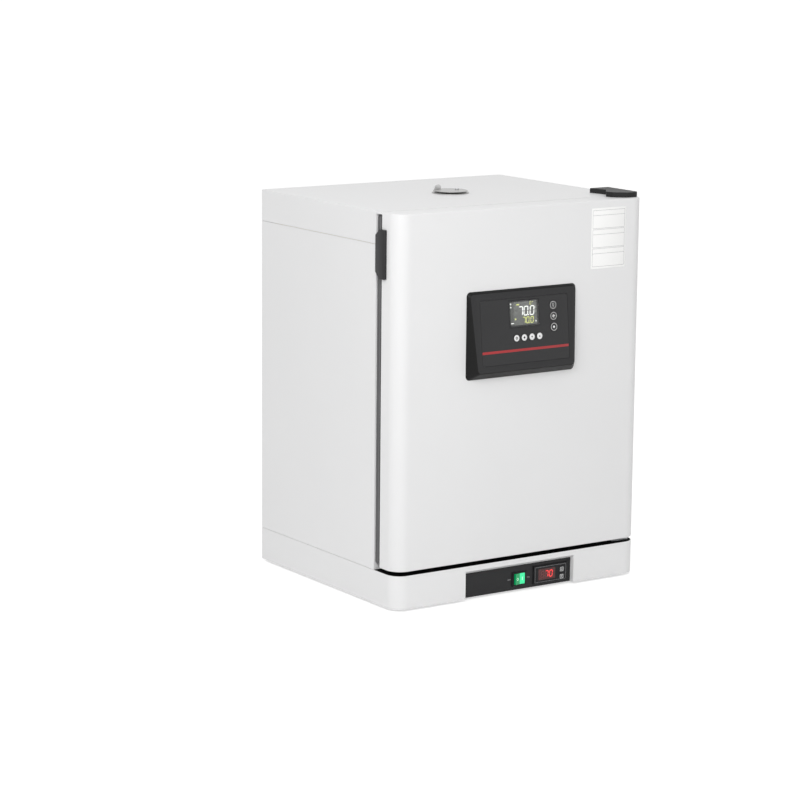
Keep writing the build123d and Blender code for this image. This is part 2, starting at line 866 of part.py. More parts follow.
# Lower hinge plate on the base deck, under the door's corner
plate_top = base_top + hinge_plate_thickness
with BuildPart() as lower_hinge_plate:
    block(
        (pivot_x - 32, pivot_x + 10),
        (pivot_y - 14, cabinet_front_y - 4),
        (base_top, plate_top),
    )
    fillet(lower_hinge_plate.edges().filter_by(Axis.Z).group_by(Axis.Y)[0], radius=8)
    rod(pin_hole, (pivot_x, pivot_y, base_top), (pivot_x, pivot_y, plate_top), Mode.SUBTRACT)
lower_hinge_plate.part.label = "lower_hinge_plate"
export_step(lower_hinge_plate.part, "parts/lower_hinge_plate.step")

# Hinge pins: one hangs into the door's top, one stands up into its bottom
pin_low = door_bottom + pin_engagement
pin_high = door_top - pin_engagement
with BuildPart() as hinge_pins:
    pin_radius = pin_diameter / 2
    rod(pin_radius, (pivot_x, pivot_y, base_top), (pivot_x, pivot_y, pin_low))
    rod(pin_radius, (pivot_x, pivot_y, pin_high), (pivot_x, pivot_y, bracket_top))
    rod(
        pin_radius + 2,
        (pivot_x, pivot_y, bracket_top),
        (pivot_x, pivot_y, bracket_top + 2),
    )
hinge_pins.part.label = "hinge_pins"
export_step(hinge_pins.part, "parts/hinge_pins.step")

# Hinge cover: hollow cap over the bracket, wider over the door


def hinge_cover_plan(inset):
    """Plan of the hinge cover: straight arm, then a wider nose with round corners."""
    with BuildSketch() as plan:
        with BuildLine():
            Polyline(
                (pivot_x - 29, bracket_rear_y + 5),
                (pivot_x - 21, pivot_y + 43),
                (pivot_x - 40, pivot_y + 17),
                (pivot_x - 35, pivot_y + 2),
                (pivot_x - 14, pivot_y - 14),
                (pivot_x + 14, pivot_y - 14),
                (pivot_x + 14, bracket_rear_y + 5),
                close=True,
            )
        make_face()
        fillet(plan.vertices().sort_by(Axis.Y)[:2].sort_by(Axis.X)[-1], radius=11)
        offset(amount=-inset, kind=Kind.INTERSECTION)
    return plan.sketch


with BuildPart() as hinge_cover:
    with BuildSketch(Plane.XY.offset(body_height)):
        add(hinge_cover_plan(0.0))
    extrude(amount=hinge_cover_height)
    fillet(hinge_cover.edges().group_by(Axis.Z)[-1], radius=1)
    with BuildSketch(Plane.XY.offset(body_height)):
        add(hinge_cover_plan(hinge_cover_wall))
    extrude(amount=hinge_cover_height - hinge_cover_wall, mode=Mode.SUBTRACT)
hinge_cover.part.label = "hinge_cover"
export_step(hinge_cover.part, "parts/hinge_cover.step")

# Door outer skin: deep tray with round front corners
door_height = door_top - door_bottom
panel_mid_z = panel_bottom + panel_height / 2
cutout_half = panel_width / 2 - cutout_side_margin
cutout_z = (
    panel_bottom + cutout_low_margin,
    panel_bottom + panel_height - cutout_high_margin,
)
with BuildPart() as door_outer_skin:
    with BuildSketch(Plane.XY.offset(door_bottom)):
        add(body_plan(0, door_rear_y))
    extrude(amount=door_height)
    rims = door_outer_skin.faces().sort_by(Axis.Z)
    rim_edges = rims[0].edges().sort_by(Axis.Y)[:-1] + rims[-1].edges().sort_by(Axis.Y)[:-1]
    fillet(rim_edges, radius=door_edge_fillet)
    with BuildSketch(Plane.XY.offset(door_bottom + door_sheet)):
        add(body_plan(door_sheet, door_rear_y))
    extrude(amount=door_height - 2 * door_sheet, mode=Mode.SUBTRACT)
    block(
        about(panel_x, cutout_half),
        (door_front_y, door_front_y + door_sheet),
        cutout_z,
        mode=Mode.SUBTRACT,
    )
    spigot_hole = bearing_spigot / 2 + running_gap
    with Locations((pivot_x, pivot_y, door_bottom), (pivot_x, pivot_y, door_top)):
        Cylinder(spigot_hole, 4 * door_sheet, mode=Mode.SUBTRACT)
door_outer_skin.part.label = "door_outer_skin"
export_step(door_outer_skin.part, "parts/door_outer_skin.step")

# Door inner liner: flat sheet that closes the door's rear
liner_inset = door_sheet + fit_gap
liner_front_y = door_rear_y - door_sheet
with BuildPart() as door_inner_liner:
    block(
        about(0, half_width - liner_inset),
        (liner_front_y, door_rear_y),
        (door_bottom + liner_inset, door_top - liner_inset),
    )
door_inner_liner.part.label = "door_inner_liner"
export_step(door_inner_liner.part, "parts/door_inner_liner.step")

# Hinge bearings: one in each end of the door, with a bore for its pin
low_seat = door_bottom + door_sheet
high_seat = door_top - door_sheet
with BuildPart() as hinge_bearings:
    bearing_radius = bearing_diameter / 2
    spigot_radius = bearing_spigot / 2
    spot = (pivot_x, pivot_y)
    rod(bearing_radius, (*spot, low_seat), (*spot, low_seat + bearing_height))
    rod(spigot_radius, (*spot, plate_top + glide_gap), (*spot, low_seat))
    rod(bearing_radius, (*spot, high_seat - bearing_height), (*spot, high_seat))
    rod(spigot_radius, (*spot, high_seat), (*spot, door_top))
    bore = pin_diameter / 2 + running_gap
    rod(bore, (*spot, plate_top), (*spot, pin_low + 1), Mode.SUBTRACT)
    rod(bore, (*spot, pin_high - 1), (*spot, door_top), Mode.SUBTRACT)
hinge_bearings.part.label = "hinge_bearings"
export_step(hinge_bearings.part, "parts/hinge_bearings.step")

# Door control box: tub behind the cut-out in the skin
box_half = cutout_half - fit_gap
box_z = (cutout_z[0] + fit_gap, cutout_z[1] - fit_gap)
with BuildPart() as control_box:
    block(about(panel_x, box_half), (door_front_y, door_front_y + box_depth), box_z)
    block(
        about(panel_x, box_half - box_wall),
        (door_front_y, door_front_y + box_depth - box_wall),
        (box_z[0] + box_wall, box_z[1] - box_wall),
        mode=Mode.SUBTRACT,
    )
control_box.part.label = "control_box"
export_step(control_box.part, "parts/control_box.step")

# Door insulation: fills the tray round the bearings and the control box
fill_inset = door_sheet + fit_gap
with BuildPart() as door_insulation:
    with BuildSketch(Plane.XY.offset(door_bottom + fill_inset)):
        add(body_plan(fill_inset, liner_front_y - fit_gap))
    extrude(amount=door_height - 2 * fill_inset)
    for seat in (low_seat + bearing_height / 2, high_seat - bearing_height / 2):
        with Locations((pivot_x, pivot_y, seat)):
            Cylinder(
                bearing_radius + fit_gap, bearing_height + 2 * fit_gap, mode=Mode.SUBTRACT
            )
    corner_cut = (pivot_x, half_width)
    for seat in (
        (door_bottom, low_seat + bearing_height + fit_gap),
        (high_seat - bearing_height - fit_gap, door_top),
    ):
        block(corner_cut, (door_front_y, pivot_y), seat, mode=Mode.SUBTRACT)
    block(
        about(panel_x, box_half + fit_gap),
        (door_front_y, door_front_y + box_depth + fit_gap),
        (box_z[0] - fit_gap, box_z[1] + fit_gap),
        mode=Mode.SUBTRACT,
    )
door_insulation.part.label = "door_insulation"
export_step(door_insulation.part, "parts/door_insulation.step")

# Door gasket: ring that meets the cabinet seal
gasket_half = half_width - gasket_inset
gasket_low = seal_bottom + gasket_inset - seal_inset
gasket_high = seal_top - gasket_inset + seal_inset
gasket_depth = seal_front_y - fit_gap - door_rear_y
with BuildPart() as door_gasket:
    with BuildSketch(front_plane(door_rear_y + gasket_depth)):
        with Locations((0, (gasket_low + gasket_high) / 2)):
            RectangleRounded(2 * gasket_half, gasket_high - gasket_low, 10)
            RectangleRounded(
                2 * (gasket_half - gasket_width),
                gasket_high - gasket_low - 2 * gasket_width,
                4,
                mode=Mode.SUBTRACT,
            )
    extrude(amount=gasket_depth)
door_gasket.part.label = "door_gasket"
export_step(door_gasket.part, "parts/door_gasket.step")

# Pull handle: plate on the door's left side with a hollow wing over the gap
handle_top = handle_bottom + handle_height
wing_rear_y = cabinet_front_y - handle_wing_gap
handle_outer = -half_width - handle_proud
with BuildPart() as door_handle:
    with BuildSketch(Plane.XY.offset(handle_bottom)) as handle_section:
        with BuildLine():
            Polyline(
                (-half_width, door_rear_y - handle_plate_depth),
                (handle_outer, door_rear_y - handle_plate_depth),
                (handle_outer, door_rear_y),
                (-half_width - handle_wing_wall, wing_rear_y),
                (-half_width, wing_rear_y),
                (handle_outer + handle_wing_wall, door_rear_y),
                (-half_width, door_rear_y),
                close=True,
            )
        make_face()
        fillet(handle_section.vertices().group_by(Axis.Y)[0].sort_by(Axis.X)[0], radius=4)
    extrude(amount=handle_height)
    for sign, end in ((1, handle_bottom), (-1, handle_top)):
        with BuildSketch(Plane.YZ.offset(handle_outer)):
            Polygon(
                (door_rear_y, end),
                (cabinet_front_y, end),
                (cabinet_front_y, end + sign * handle_wing_drop),
                align=None,
            )
        extrude(amount=handle_proud, mode=Mode.SUBTRACT)
door_handle.part.label = "door_handle"
export_step(door_handle.part, "parts/door_handle.step")

# Plain label plate on the door
with BuildPart() as label_plate:
    block(
        (label_left, label_left + label_width),
        (door_front_y - label_thickness, door_front_y),
        (label_bottom, label_bottom + label_height),
    )
label_plate.part.label = "label_plate"
export_step(label_plate.part, "parts/label_plate.step")

# Sloping face of the control housing: x right, y up the slope, z out of it
face_low = (door_front_y - panel_proud_bottom, panel_bottom + panel_draft * panel_proud_bottom)
face_high = (
    door_front_y - panel_proud_top,
    panel_bottom + panel_height - panel_draft * panel_proud_top,
)
slope = Vector(0, face_high[0] - face_low[0], face_high[1] - face_low[1]).normalized()
face_plane = Plane(
    origin=(panel_x, *face_low), x_dir=(1, 0, 0), z_dir=Vector(1, 0, 0).cross(slope)
)
key_places = {
    "key_set": (key_row_x - 1.5 * key_pitch, key_row_up, key_diameter),
    "key_shift": (key_row_x - 0.5 * key_pitch, key_row_up, key_diameter),
    "key_down": (key_row_x + 0.5 * key_pitch, key_row_up, key_diameter),
    "key_up": (key_row_x + 1.5 * key_pitch, key_row_up, key_diameter),
    "key_lamp": (side_key_x, side_key_up + side_key_pitch, side_key_diameter),
    "key_fan": (side_key_x, side_key_up, side_key_diameter),
    "key_run": (side_key_x, side_key_up - side_key_pitch, side_key_diameter),
}
skin_depth = overlay_thickness + panel_skin
module_back = skin_depth + display_depth
board_left = -panel_width / 4
board_right = side_key_x + side_key_diameter / 2 + board_margin
board_low = key_row_up - key_diameter / 2 - board_margin
board_high = display_up + display_height / 2 + board_margin
board_centre = ((board_left + board_right) / 2, (board_low + board_high) / 2)
board_post_x = (board_right - board_left) / 2 - 4
board_post_y = (board_high - board_low) / 2 - 3


def drafted_block(inset):
    """Block that narrows towards the front, standing on the door's front."""
    reach = panel_proud_bottom + 4
    shrink = 2 * (inset + panel_draft * reach)
    with BuildPart() as drafted:
        with BuildSketch(front_plane(door_front_y)):
            with Locations((panel_x, panel_mid_z)):
                RectangleRounded(
                    panel_width - 2 * inset, panel_height - 2 * inset, panel_corner - inset
                )
        with BuildSketch(front_plane(door_front_y - reach)):
            with Locations((panel_x, panel_mid_z)):
                RectangleRounded(panel_width - shrink, panel_height - shrink, panel_corner - inset)
        loft()
    return drafted.part


# Control housing: wedge shell with pockets for its overlay, display and keys
housing_body = drafted_block(0.0)
housing_room = drafted_block(panel_wall)
with BuildPart() as housing_cavity:
    add(housing_room)
    split(bisect_by=face_plane.offset(-skin_depth), keep=Keep.BOTTOM)
with BuildPart() as panel_housing:
    add(housing_body)
    split(bisect_by=face_plane, keep=Keep.BOTTOM)
    add(housing_cavity.part, mode=Mode.SUBTRACT)
    with BuildSketch(face_plane):
        with Locations((0, overlay_bottom + overlay_height / 2)):
            RectangleRounded(
                overlay_width + 2 * fit_gap, overlay_height + 2 * fit_gap, overlay_corner + fit_gap
            )
    extrude(amount=-overlay_thickness, mode=Mode.SUBTRACT)
    with BuildSketch(face_plane):
        with Locations((display_x, display_up)):
            Rectangle(display_width - 2 * display_border, display_height - 2 * display_border)
        for x, up, diameter in key_places.values():
            with Locations((x, up)):
                Circle(diameter / 2 + glide_gap)
    extrude(amount=-skin_depth, mode=Mode.SUBTRACT)
    with BuildSketch(face_plane.offset(-skin_depth)):
        with Locations(board_centre):
            with GridLocations(2 * board_post_x, 2 * board_post_y, 2, 2):
                Circle(2.5)
    extrude(amount=-display_depth)
panel_housing.part.label = "panel_housing"
export_step(panel_housing.part, "parts/panel_housing.step")

# Overlay inlaid in the sloping face
with BuildPart() as panel_overlay:
    with BuildSketch(face_plane.offset(-overlay_thickness)):
        with Locations((0, overlay_bottom + overlay_height / 2)):
            RectangleRounded(overlay_width, overlay_height, overlay_corner)
        with Locations((display_x, display_up)):
            Rectangle(display_width, display_height, mode=Mode.SUBTRACT)
        for x, up, diameter in key_places.values():
            with Locations((x, up)):
                Circle(diameter / 2 + glide_gap, mode=Mode.SUBTRACT)
    extrude(amount=overlay_thickness)
panel_overlay.part.label = "panel_overlay"
export_step(panel_overlay.part, "parts/panel_overlay.step")

# Clear window over the display
with BuildPart() as display_window:
    with BuildSketch(face_plane.offset(-overlay_thickness)):
        with Locations((display_x, display_up)):
            Rectangle(display_width - 2 * running_gap, display_height - 2 * running_gap)
    extrude(amount=overlay_thickness)
display_window.part.label = "display_window"
export_step(display_window.part, "parts/display_window.step")

# Display module between the housing's skin and the board
with BuildPart() as display_module:
    with BuildSketch(face_plane.offset(-skin_depth)):
        with Locations((display_x, display_up)):
            Rectangle(display_width + 2 * display_border, display_height + 2 * display_border)
    extrude(amount=-display_depth)
display_module.part.label = "display_module"
export_step(display_module.part, "parts/display_module.step")

# Control board on the housing's posts
with BuildPart() as control_board:
    with BuildSketch(face_plane.offset(-module_back)):
        with Locations(board_centre):
            Rectangle(board_right - board_left, board_high - board_low)
    extrude(amount=-board_thickness)
    with BuildSketch(face_plane.offset(-module_back - board_thickness)):
        with Locations((board_left + 20, board_low + 12), (board_left + 20, board_low + 34)):
            Rectangle(16, 12)
        with Locations((board_centre[0], board_low + 20)):
            Rectangle(30, 9)
    extrude(amount=-4)
control_board.part.label = "control_board"
export_step(control_board.part, "parts/control_board.step")

# Round keys: cap, retaining flange and stem
for name, (x, up, diameter) in key_places.items():
    with BuildPart() as key:
        flange_front = skin_depth + glide_gap
        with BuildSketch(face_plane.offset(-flange_front)):
            with Locations((x, up)):
                Circle(diameter / 2)
        extrude(amount=flange_front + key_proud)
        fillet(key.edges().sort_by_distance(face_plane.offset(60).origin)[0], radius=0.3)
        with BuildSketch(face_plane.offset(-flange_front - 1)):
            with Locations((x, up)):
                Circle(diameter / 2 + key_flange)
        extrude(amount=1)
        with BuildSketch(face_plane.offset(-flange_front - 1)):
            with Locations((x, up)):
                Circle(key_stem / 2)
        extrude(amount=-key_stem_length)
    key.part.label = name
    export_step(key.part, f"parts/{name}.step")

# Glass inner door
glass_rear_y = cabinet_front_y - glass_stand_off
glass_front_y = glass_rear_y - glass_thickness
glass_half = chamber_half + glass_overlap
glass_low = chamber_floor - glass_overlap
glass_high = chamber_top + glass_overlap
glass_pivot_x = glass_half + glass_pivot_gap
glass_pivot_y = glass_front_y - glass_pivot_front
with BuildPart() as glass_door:
    with BuildSketch(front_plane(glass_rear_y)):
        with Locations((0, chamber_mid)):
            RectangleRounded(2 * glass_half, glass_high - glass_low, 6)
    extrude(amount=glass_thickness)
glass_door.part.label = "glass_door"
export_step(glass_door.part, "parts/glass_door.step")

# Clamps with their knuckles, and the knob, on the glass
hinge_levels = (glass_low + glass_hinge_inset, glass_high - glass_hinge_inset)
with BuildPart() as glass_fittings:
    for z in hinge_levels:
        span = about(z, knuckle_height / 2)
        block(
            (glass_half - clamp_width, glass_pivot_x),
            (glass_front_y - clamp_thickness, glass_front_y),
            span,
        )
        rod(
            knuckle_diameter / 2,
            (glass_pivot_x, glass_pivot_y, span[0]),
            (glass_pivot_x, glass_pivot_y, span[1]),
        )
        rod(
            glass_pin / 2 + running_gap,
            (glass_pivot_x, glass_pivot_y, span[0]),
            (glass_pivot_x, glass_pivot_y, span[1]),
            Mode.SUBTRACT,
        )
    knob_x = -glass_half + glass_knob_inset
    rod(
        glass_knob_diameter / 2,
        (knob_x, glass_front_y, chamber_mid),
        (knob_x, glass_front_y - glass_knob_height, chamber_mid),
    )
glass_fittings.part.label = "glass_fittings"
export_step(glass_fittings.part, "parts/glass_fittings.step")

# Glass hinge brackets: two ears and a pin at each level
with BuildPart() as glass_hinge_brackets:
    for z in hinge_levels:
        low_ear = z - knuckle_height / 2 - glide_gap
        high_ear = z + knuckle_height / 2 + glide_gap
        leaf = (glass_half + 2, glass_pivot_x + 10)
        block(leaf, (cabinet_front_y - 1.5, cabinet_front_y), (low_ear - 8, high_ear + 8))
        for ear in ((low_ear - ear_height, low_ear), (high_ear, high_ear + ear_height)):
            block(leaf, (glass_pivot_y, cabinet_front_y), ear)
            rod(
                glass_pin / 2 + 2.5,
                (glass_pivot_x, glass_pivot_y, ear[0]),
                (glass_pivot_x, glass_pivot_y, ear[1]),
            )
        rod(
            glass_pin / 2,
            (glass_pivot_x, glass_pivot_y, low_ear - ear_height),
            (glass_pivot_x, glass_pivot_y, high_ear + ear_height),
        )
glass_hinge_brackets.part.label = "glass_hinge_brackets"
export_step(glass_hinge_brackets.part, "parts/glass_hinge_brackets.step")

# Control plate at the back of the base's notch
subpanel_back = subpanel_y + subpanel_thickness
switch_body_width = switch_bezel_width - 3.5
switch_body_height = switch_bezel_height - 2.5
thermostat_body_width = thermostat_width - 2 * thermostat_lip
thermostat_body_height = thermostat_height - 2 * thermostat_lip
with BuildPart() as control_plate:
    block(
        (notch_left + fit_gap, notch_right - fit_gap),
        (subpanel_y, subpanel_back),
        (foot_height, notch_top - fit_gap),
    )
    block(
        about(switch_x, switch_body_width / 2 + fit_gap),
        (subpanel_y, subpanel_back),
        about(switch_z, switch_body_height / 2 + fit_gap),
        mode=Mode.SUBTRACT,
    )
    block(
        about(thermostat_x, thermostat_body_width / 2 + fit_gap),
        (subpanel_y, subpanel_back),
        about(thermostat_z, thermostat_body_height / 2 + fit_gap),
        mode=Mode.SUBTRACT,
    )
control_plate.part.label = "control_plate"
export_step(control_plate.part, "parts/control_plate.step")

# Rocker switch body with its pocket
switch_front_y = subpanel_y - switch_bezel_proud
rocker_pivot_y = switch_front_y + rocker_pivot + 2
pocket_half = rocker_width / 2 + 1.2
pocket_height = rocker_height / 2 + glide_gap
with BuildPart() as switch_body:
    block(
        about(switch_x, switch_bezel_width / 2),
        (switch_front_y, subpanel_y),
        about(switch_z, switch_bezel_height / 2),
    )
    fillet(switch_body.edges().group_by(Axis.Y)[0], radius=1)
    block(
        about(switch_x, switch_body_width / 2),
        (subpanel_y, subpanel_y + switch_body_depth),
        about(switch_z, switch_body_height / 2),
    )
    block(
        about(switch_x, pocket_half),
        (switch_front_y, rocker_pivot_y + 5),
        about(switch_z, pocket_height),
        mode=Mode.SUBTRACT,
    )
    rod(
        1.5 + running_gap,
        (switch_x, rocker_pivot_y, switch_z - pocket_height - 1.5),
        (switch_x, rocker_pivot_y, switch_z + pocket_height + 1.5),
        Mode.SUBTRACT,
    )
switch_body.part.label = "switch_body"
export_step(switch_body.part, "parts/switch_body.step")

# Rocker, shown with its right half pressed in
rocker_plane = Plane(
    origin=(switch_x, rocker_pivot_y, switch_z - rocker_height / 2),
    x_dir=(math.cos(math.radians(rocker_tilt)), math.sin(math.radians(rocker_tilt)), 0),
    z_dir=(0, 0, 1),
)
with BuildPart() as rocker:
    with BuildSketch(rocker_plane):
        with BuildLine():
            Polyline(
                (-rocker_width / 2, 1.5),
                (-rocker_width / 2, -5.2),
                (0, -3.4),
                (rocker_width / 2, -5.2),
                (rocker_width / 2, 1.5),
                close=True,
            )
        make_face()
    extrude(amount=rocker_height)
    rod(
        1.5,
        (switch_x, rocker_pivot_y, switch_z - pocket_height - 1.2),
        (switch_x, rocker_pivot_y, switch_z + pocket_height + 1.2),
    )
rocker.part.label = "rocker"
export_step(rocker.part, "parts/rocker.step")

# Limit thermostat: framed body with a window pocket and two button wells
thermostat_front_y = subpanel_y - thermostat_proud
button_xs = thermostat_x + button_x
button_zs = about(thermostat_z - button_centre_drop, button_spacing / 2)
well_half = button_size / 2 + glide_gap
with BuildPart() as thermostat_body:
    block(
        about(thermostat_x, thermostat_width / 2),
        (thermostat_front_y, subpanel_y),
        about(thermostat_z, thermostat_height / 2),
    )
    fillet(thermostat_body.edges().group_by(Axis.Y)[0], radius=1)
    block(
        about(thermostat_x, thermostat_body_width / 2),
        (subpanel_y, subpanel_y + thermostat_body_depth),
        about(thermostat_z, thermostat_body_height / 2),
    )
    block(
        about(thermostat_x + window_x, window_width / 2 + running_gap),
        (thermostat_front_y, thermostat_front_y + window_thickness),
        about(thermostat_z, window_height / 2 + running_gap),
        mode=Mode.SUBTRACT,
    )
    for z in button_zs:
        block(
            about(button_xs, well_half),
            (thermostat_front_y, thermostat_front_y + button_depth + button_travel + glide_gap),
            about(z, well_half),
            mode=Mode.SUBTRACT,
        )
thermostat_body.part.label = "thermostat_body"
export_step(thermostat_body.part, "parts/thermostat_body.step")

# Red window of the thermostat
with BuildPart() as thermostat_window:
    block(
        about(thermostat_x + window_x, window_width / 2),
        (thermostat_front_y, thermostat_front_y + window_thickness),
        about(thermostat_z, window_height / 2),
    )
thermostat_window.part.label = "thermostat_window"
export_step(thermostat_window.part, "parts/thermostat_window.step")

# The thermostat's two square buttons
for z, name in zip(button_zs, ("button_down", "button_up")):
    with BuildPart() as button:
        block(
            about(button_xs, button_size / 2),
            (thermostat_front_y - button_proud, thermostat_front_y + button_depth),
            about(z, button_size / 2),
        )
        fillet(button.edges().group_by(Axis.Y)[0], radius=0.6)
    button.part.label = name
    export_step(button.part, f"parts/{name}.step")

# Power board on four posts
board_low_z = floor_z + post_height
with BuildPart() as power_board:
    with Locations((power_board_x, power_board_y, board_low_z)):
        Box(
            power_board_length,
            power_board_width,
            board_thickness,
            align=(Align.CENTER, Align.CENTER, Align.MIN),
        )
    with Locations((power_board_x, power_board_y, floor_z)):
        with GridLocations(power_board_length - 10, power_board_width - 10, 2, 2):
            Cylinder(
                post_diameter / 2, post_height, align=(Align.CENTER, Align.CENTER, Align.MIN)
            )
    parts_z = board_low_z + board_thickness
    block(about(power_board_x - 45, 14), about(power_board_y, 20), (parts_z, parts_z + 26))
    block(about(power_board_x, 19), about(power_board_y - 20, 12), (parts_z, parts_z + 16))
    block(about(power_board_x + 45, 10), about(power_board_y - 15, 22), (parts_z, parts_z + 20))
    terminal_y = power_board_y + power_board_width / 2
    block(about(power_board_x + 30, 30), (terminal_y - 14, terminal_y - 2), (parts_z, parts_z + 15))
power_board.part.label = "power_board"
export_step(power_board.part, "parts/power_board.step")

# Transformer: laminated core with its coil
with BuildPart() as transformer:
    block(about(transformer_x, 33), about(transformer_y, 11), (floor_z, floor_z + 48))
    block(about(transformer_x, 17), about(transformer_y, 25), (floor_z + 9, floor_z + 41))
    block(about(transformer_x, 42), about(transformer_y, 11), (floor_z, floor_z + 2))
transformer.part.label = "transformer"
export_step(transformer.part, "parts/transformer.step")

# Power inlet with its fuse drawer
with BuildPart() as power_inlet:
    block(
        about(inlet_x, inlet_width / 2 + inlet_flange),
        (back_y, back_y + inlet_flange_thickness),
        about(inlet_z, inlet_height / 2 + inlet_flange),
    )
    block(
        about(inlet_x, inlet_width / 2),
        (back_y - inlet_depth, back_y),
        about(inlet_z, inlet_height / 2),
    )
    socket_z = about(inlet_z + 2, 8.5)
    block(
        about(inlet_x, 12.5),
        (back_y - 15, back_y + inlet_flange_thickness),
        socket_z,
        mode=Mode.SUBTRACT,
    )
    for x, z in ((-7, -1.5), (7, -1.5), (0, 2.5)):
        block(about(inlet_x + x, 1), (back_y - 15, back_y), about(inlet_z + 2 + z, 2))
power_inlet.part.label = "power_inlet"
export_step(power_inlet.part, "parts/power_inlet.step")

# Wiring loom from the inlet to the power board's terminals
loom_radius = 3.5
loom_z = parts_z + 8
with BuildPart() as wiring_loom:
    with BuildLine() as loom_path:
        FilletPolyline(
            (inlet_x, back_y - inlet_depth, inlet_z - 6),
            (inlet_x, terminal_y + 90, inlet_z - 6),
            (power_board_x + 45, terminal_y + 45, loom_z),
            (power_board_x + 45, terminal_y - 2, loom_z),
            radius=28,
        )
    with BuildSketch(loom_path.line ^ 0):
        Circle(loom_radius)
    sweep()
wiring_loom.part.label = "wiring_loom"
export_step(wiring_loom.part, "parts/wiring_loom.step")
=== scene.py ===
# %% [markdown]
# # A bench incubator
# The object is a white steel cabinet for growing cultures: a thick door hinged on its right, a wedge-shaped
# control housing on the door, a low base with a switch and a limit thermostat, and a swinging vent disc on the
# roof. The CAD model comes first and gives every piece its place. This script dresses it.

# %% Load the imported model
import bpy
import bmesh
from math import copysign, cos, pi, radians, sin
from mathutils import Matrix, Vector


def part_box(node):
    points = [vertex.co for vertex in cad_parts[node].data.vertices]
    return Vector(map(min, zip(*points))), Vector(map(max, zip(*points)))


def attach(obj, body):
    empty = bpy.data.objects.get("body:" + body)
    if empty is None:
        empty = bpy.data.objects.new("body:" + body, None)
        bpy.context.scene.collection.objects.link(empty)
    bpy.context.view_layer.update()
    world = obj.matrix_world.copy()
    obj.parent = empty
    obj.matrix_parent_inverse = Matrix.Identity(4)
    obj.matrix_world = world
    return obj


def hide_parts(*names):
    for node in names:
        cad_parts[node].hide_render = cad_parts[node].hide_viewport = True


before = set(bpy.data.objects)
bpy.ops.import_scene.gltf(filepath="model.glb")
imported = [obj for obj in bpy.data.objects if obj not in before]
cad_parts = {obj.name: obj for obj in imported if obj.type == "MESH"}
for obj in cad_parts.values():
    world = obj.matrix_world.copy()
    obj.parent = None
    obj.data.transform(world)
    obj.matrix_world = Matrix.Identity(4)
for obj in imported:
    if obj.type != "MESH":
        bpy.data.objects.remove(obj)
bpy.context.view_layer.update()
scene = bpy.context.scene
MM = 0.001

# %% [markdown]
# A photograph of a product is taken from some distance with a long lens, so its upright lines stay nearly
# parallel. The camera is set from its azimuth, elevation and roll, because those three angles are what a
# photographer would note down. A look-at constraint would do too, but it hides the roll.

# %% Camera
AZIMUTH, ELEVATION, ROLL = (radians(a) for a in (-33.845, 10.709, 0.53))
STANDS_AT, LENS, SENSOR = (-2.926793, -4.186902, 1.292840), 123.54, 36
flat = cos(ELEVATION)
back = Vector((sin(AZIMUTH) * flat, -cos(AZIMUTH) * flat, sin(ELEVATION)))
level = Vector((cos(AZIMUTH), sin(AZIMUTH), 0))
upright = back.cross(level)
right = cos(ROLL) * level + sin(ROLL) * upright
up = -sin(ROLL) * level + cos(ROLL) * upright
camera = bpy.data.objects.new("camera", bpy.data.cameras.new("camera"))
camera.data.sensor_width, camera.data.lens = SENSOR, LENS
camera.matrix_world = Matrix.Translation(STANDS_AT) @ Matrix((right, up, back)).transposed().to_4x4()
scene.collection.objects.link(camera)
scene.camera = camera

# %% [markdown]
# A shader is arithmetic on pictures. Blender writes it as nodes and links, which is slow to read in a script.
# This small class wraps one output socket and lets Python's own operators add the Math nodes, so that
# `0.3 + 0.1 * clouds` reads as it should. All that isn't plain arithmetic goes through one `node` method.


# %% Sockets that do arithmetic
class Signal:
    """One output of a shader node, which can be added to and multiplied."""

    def __init__(self, finish, socket):
        self.finish = finish
        self.socket = socket

    def math(self, operation, other):
        return self.finish.node("Math", {"operation": operation}, {0: self, 1: other})

    def __add__(self, other):
        return self.math("ADD", other)

    def __mul__(self, other):
        return self.math("MULTIPLY", other)

    __radd__, __rmul__ = __add__, __mul__

    def above(self, limit):
        return self.math("GREATER_THAN", limit)


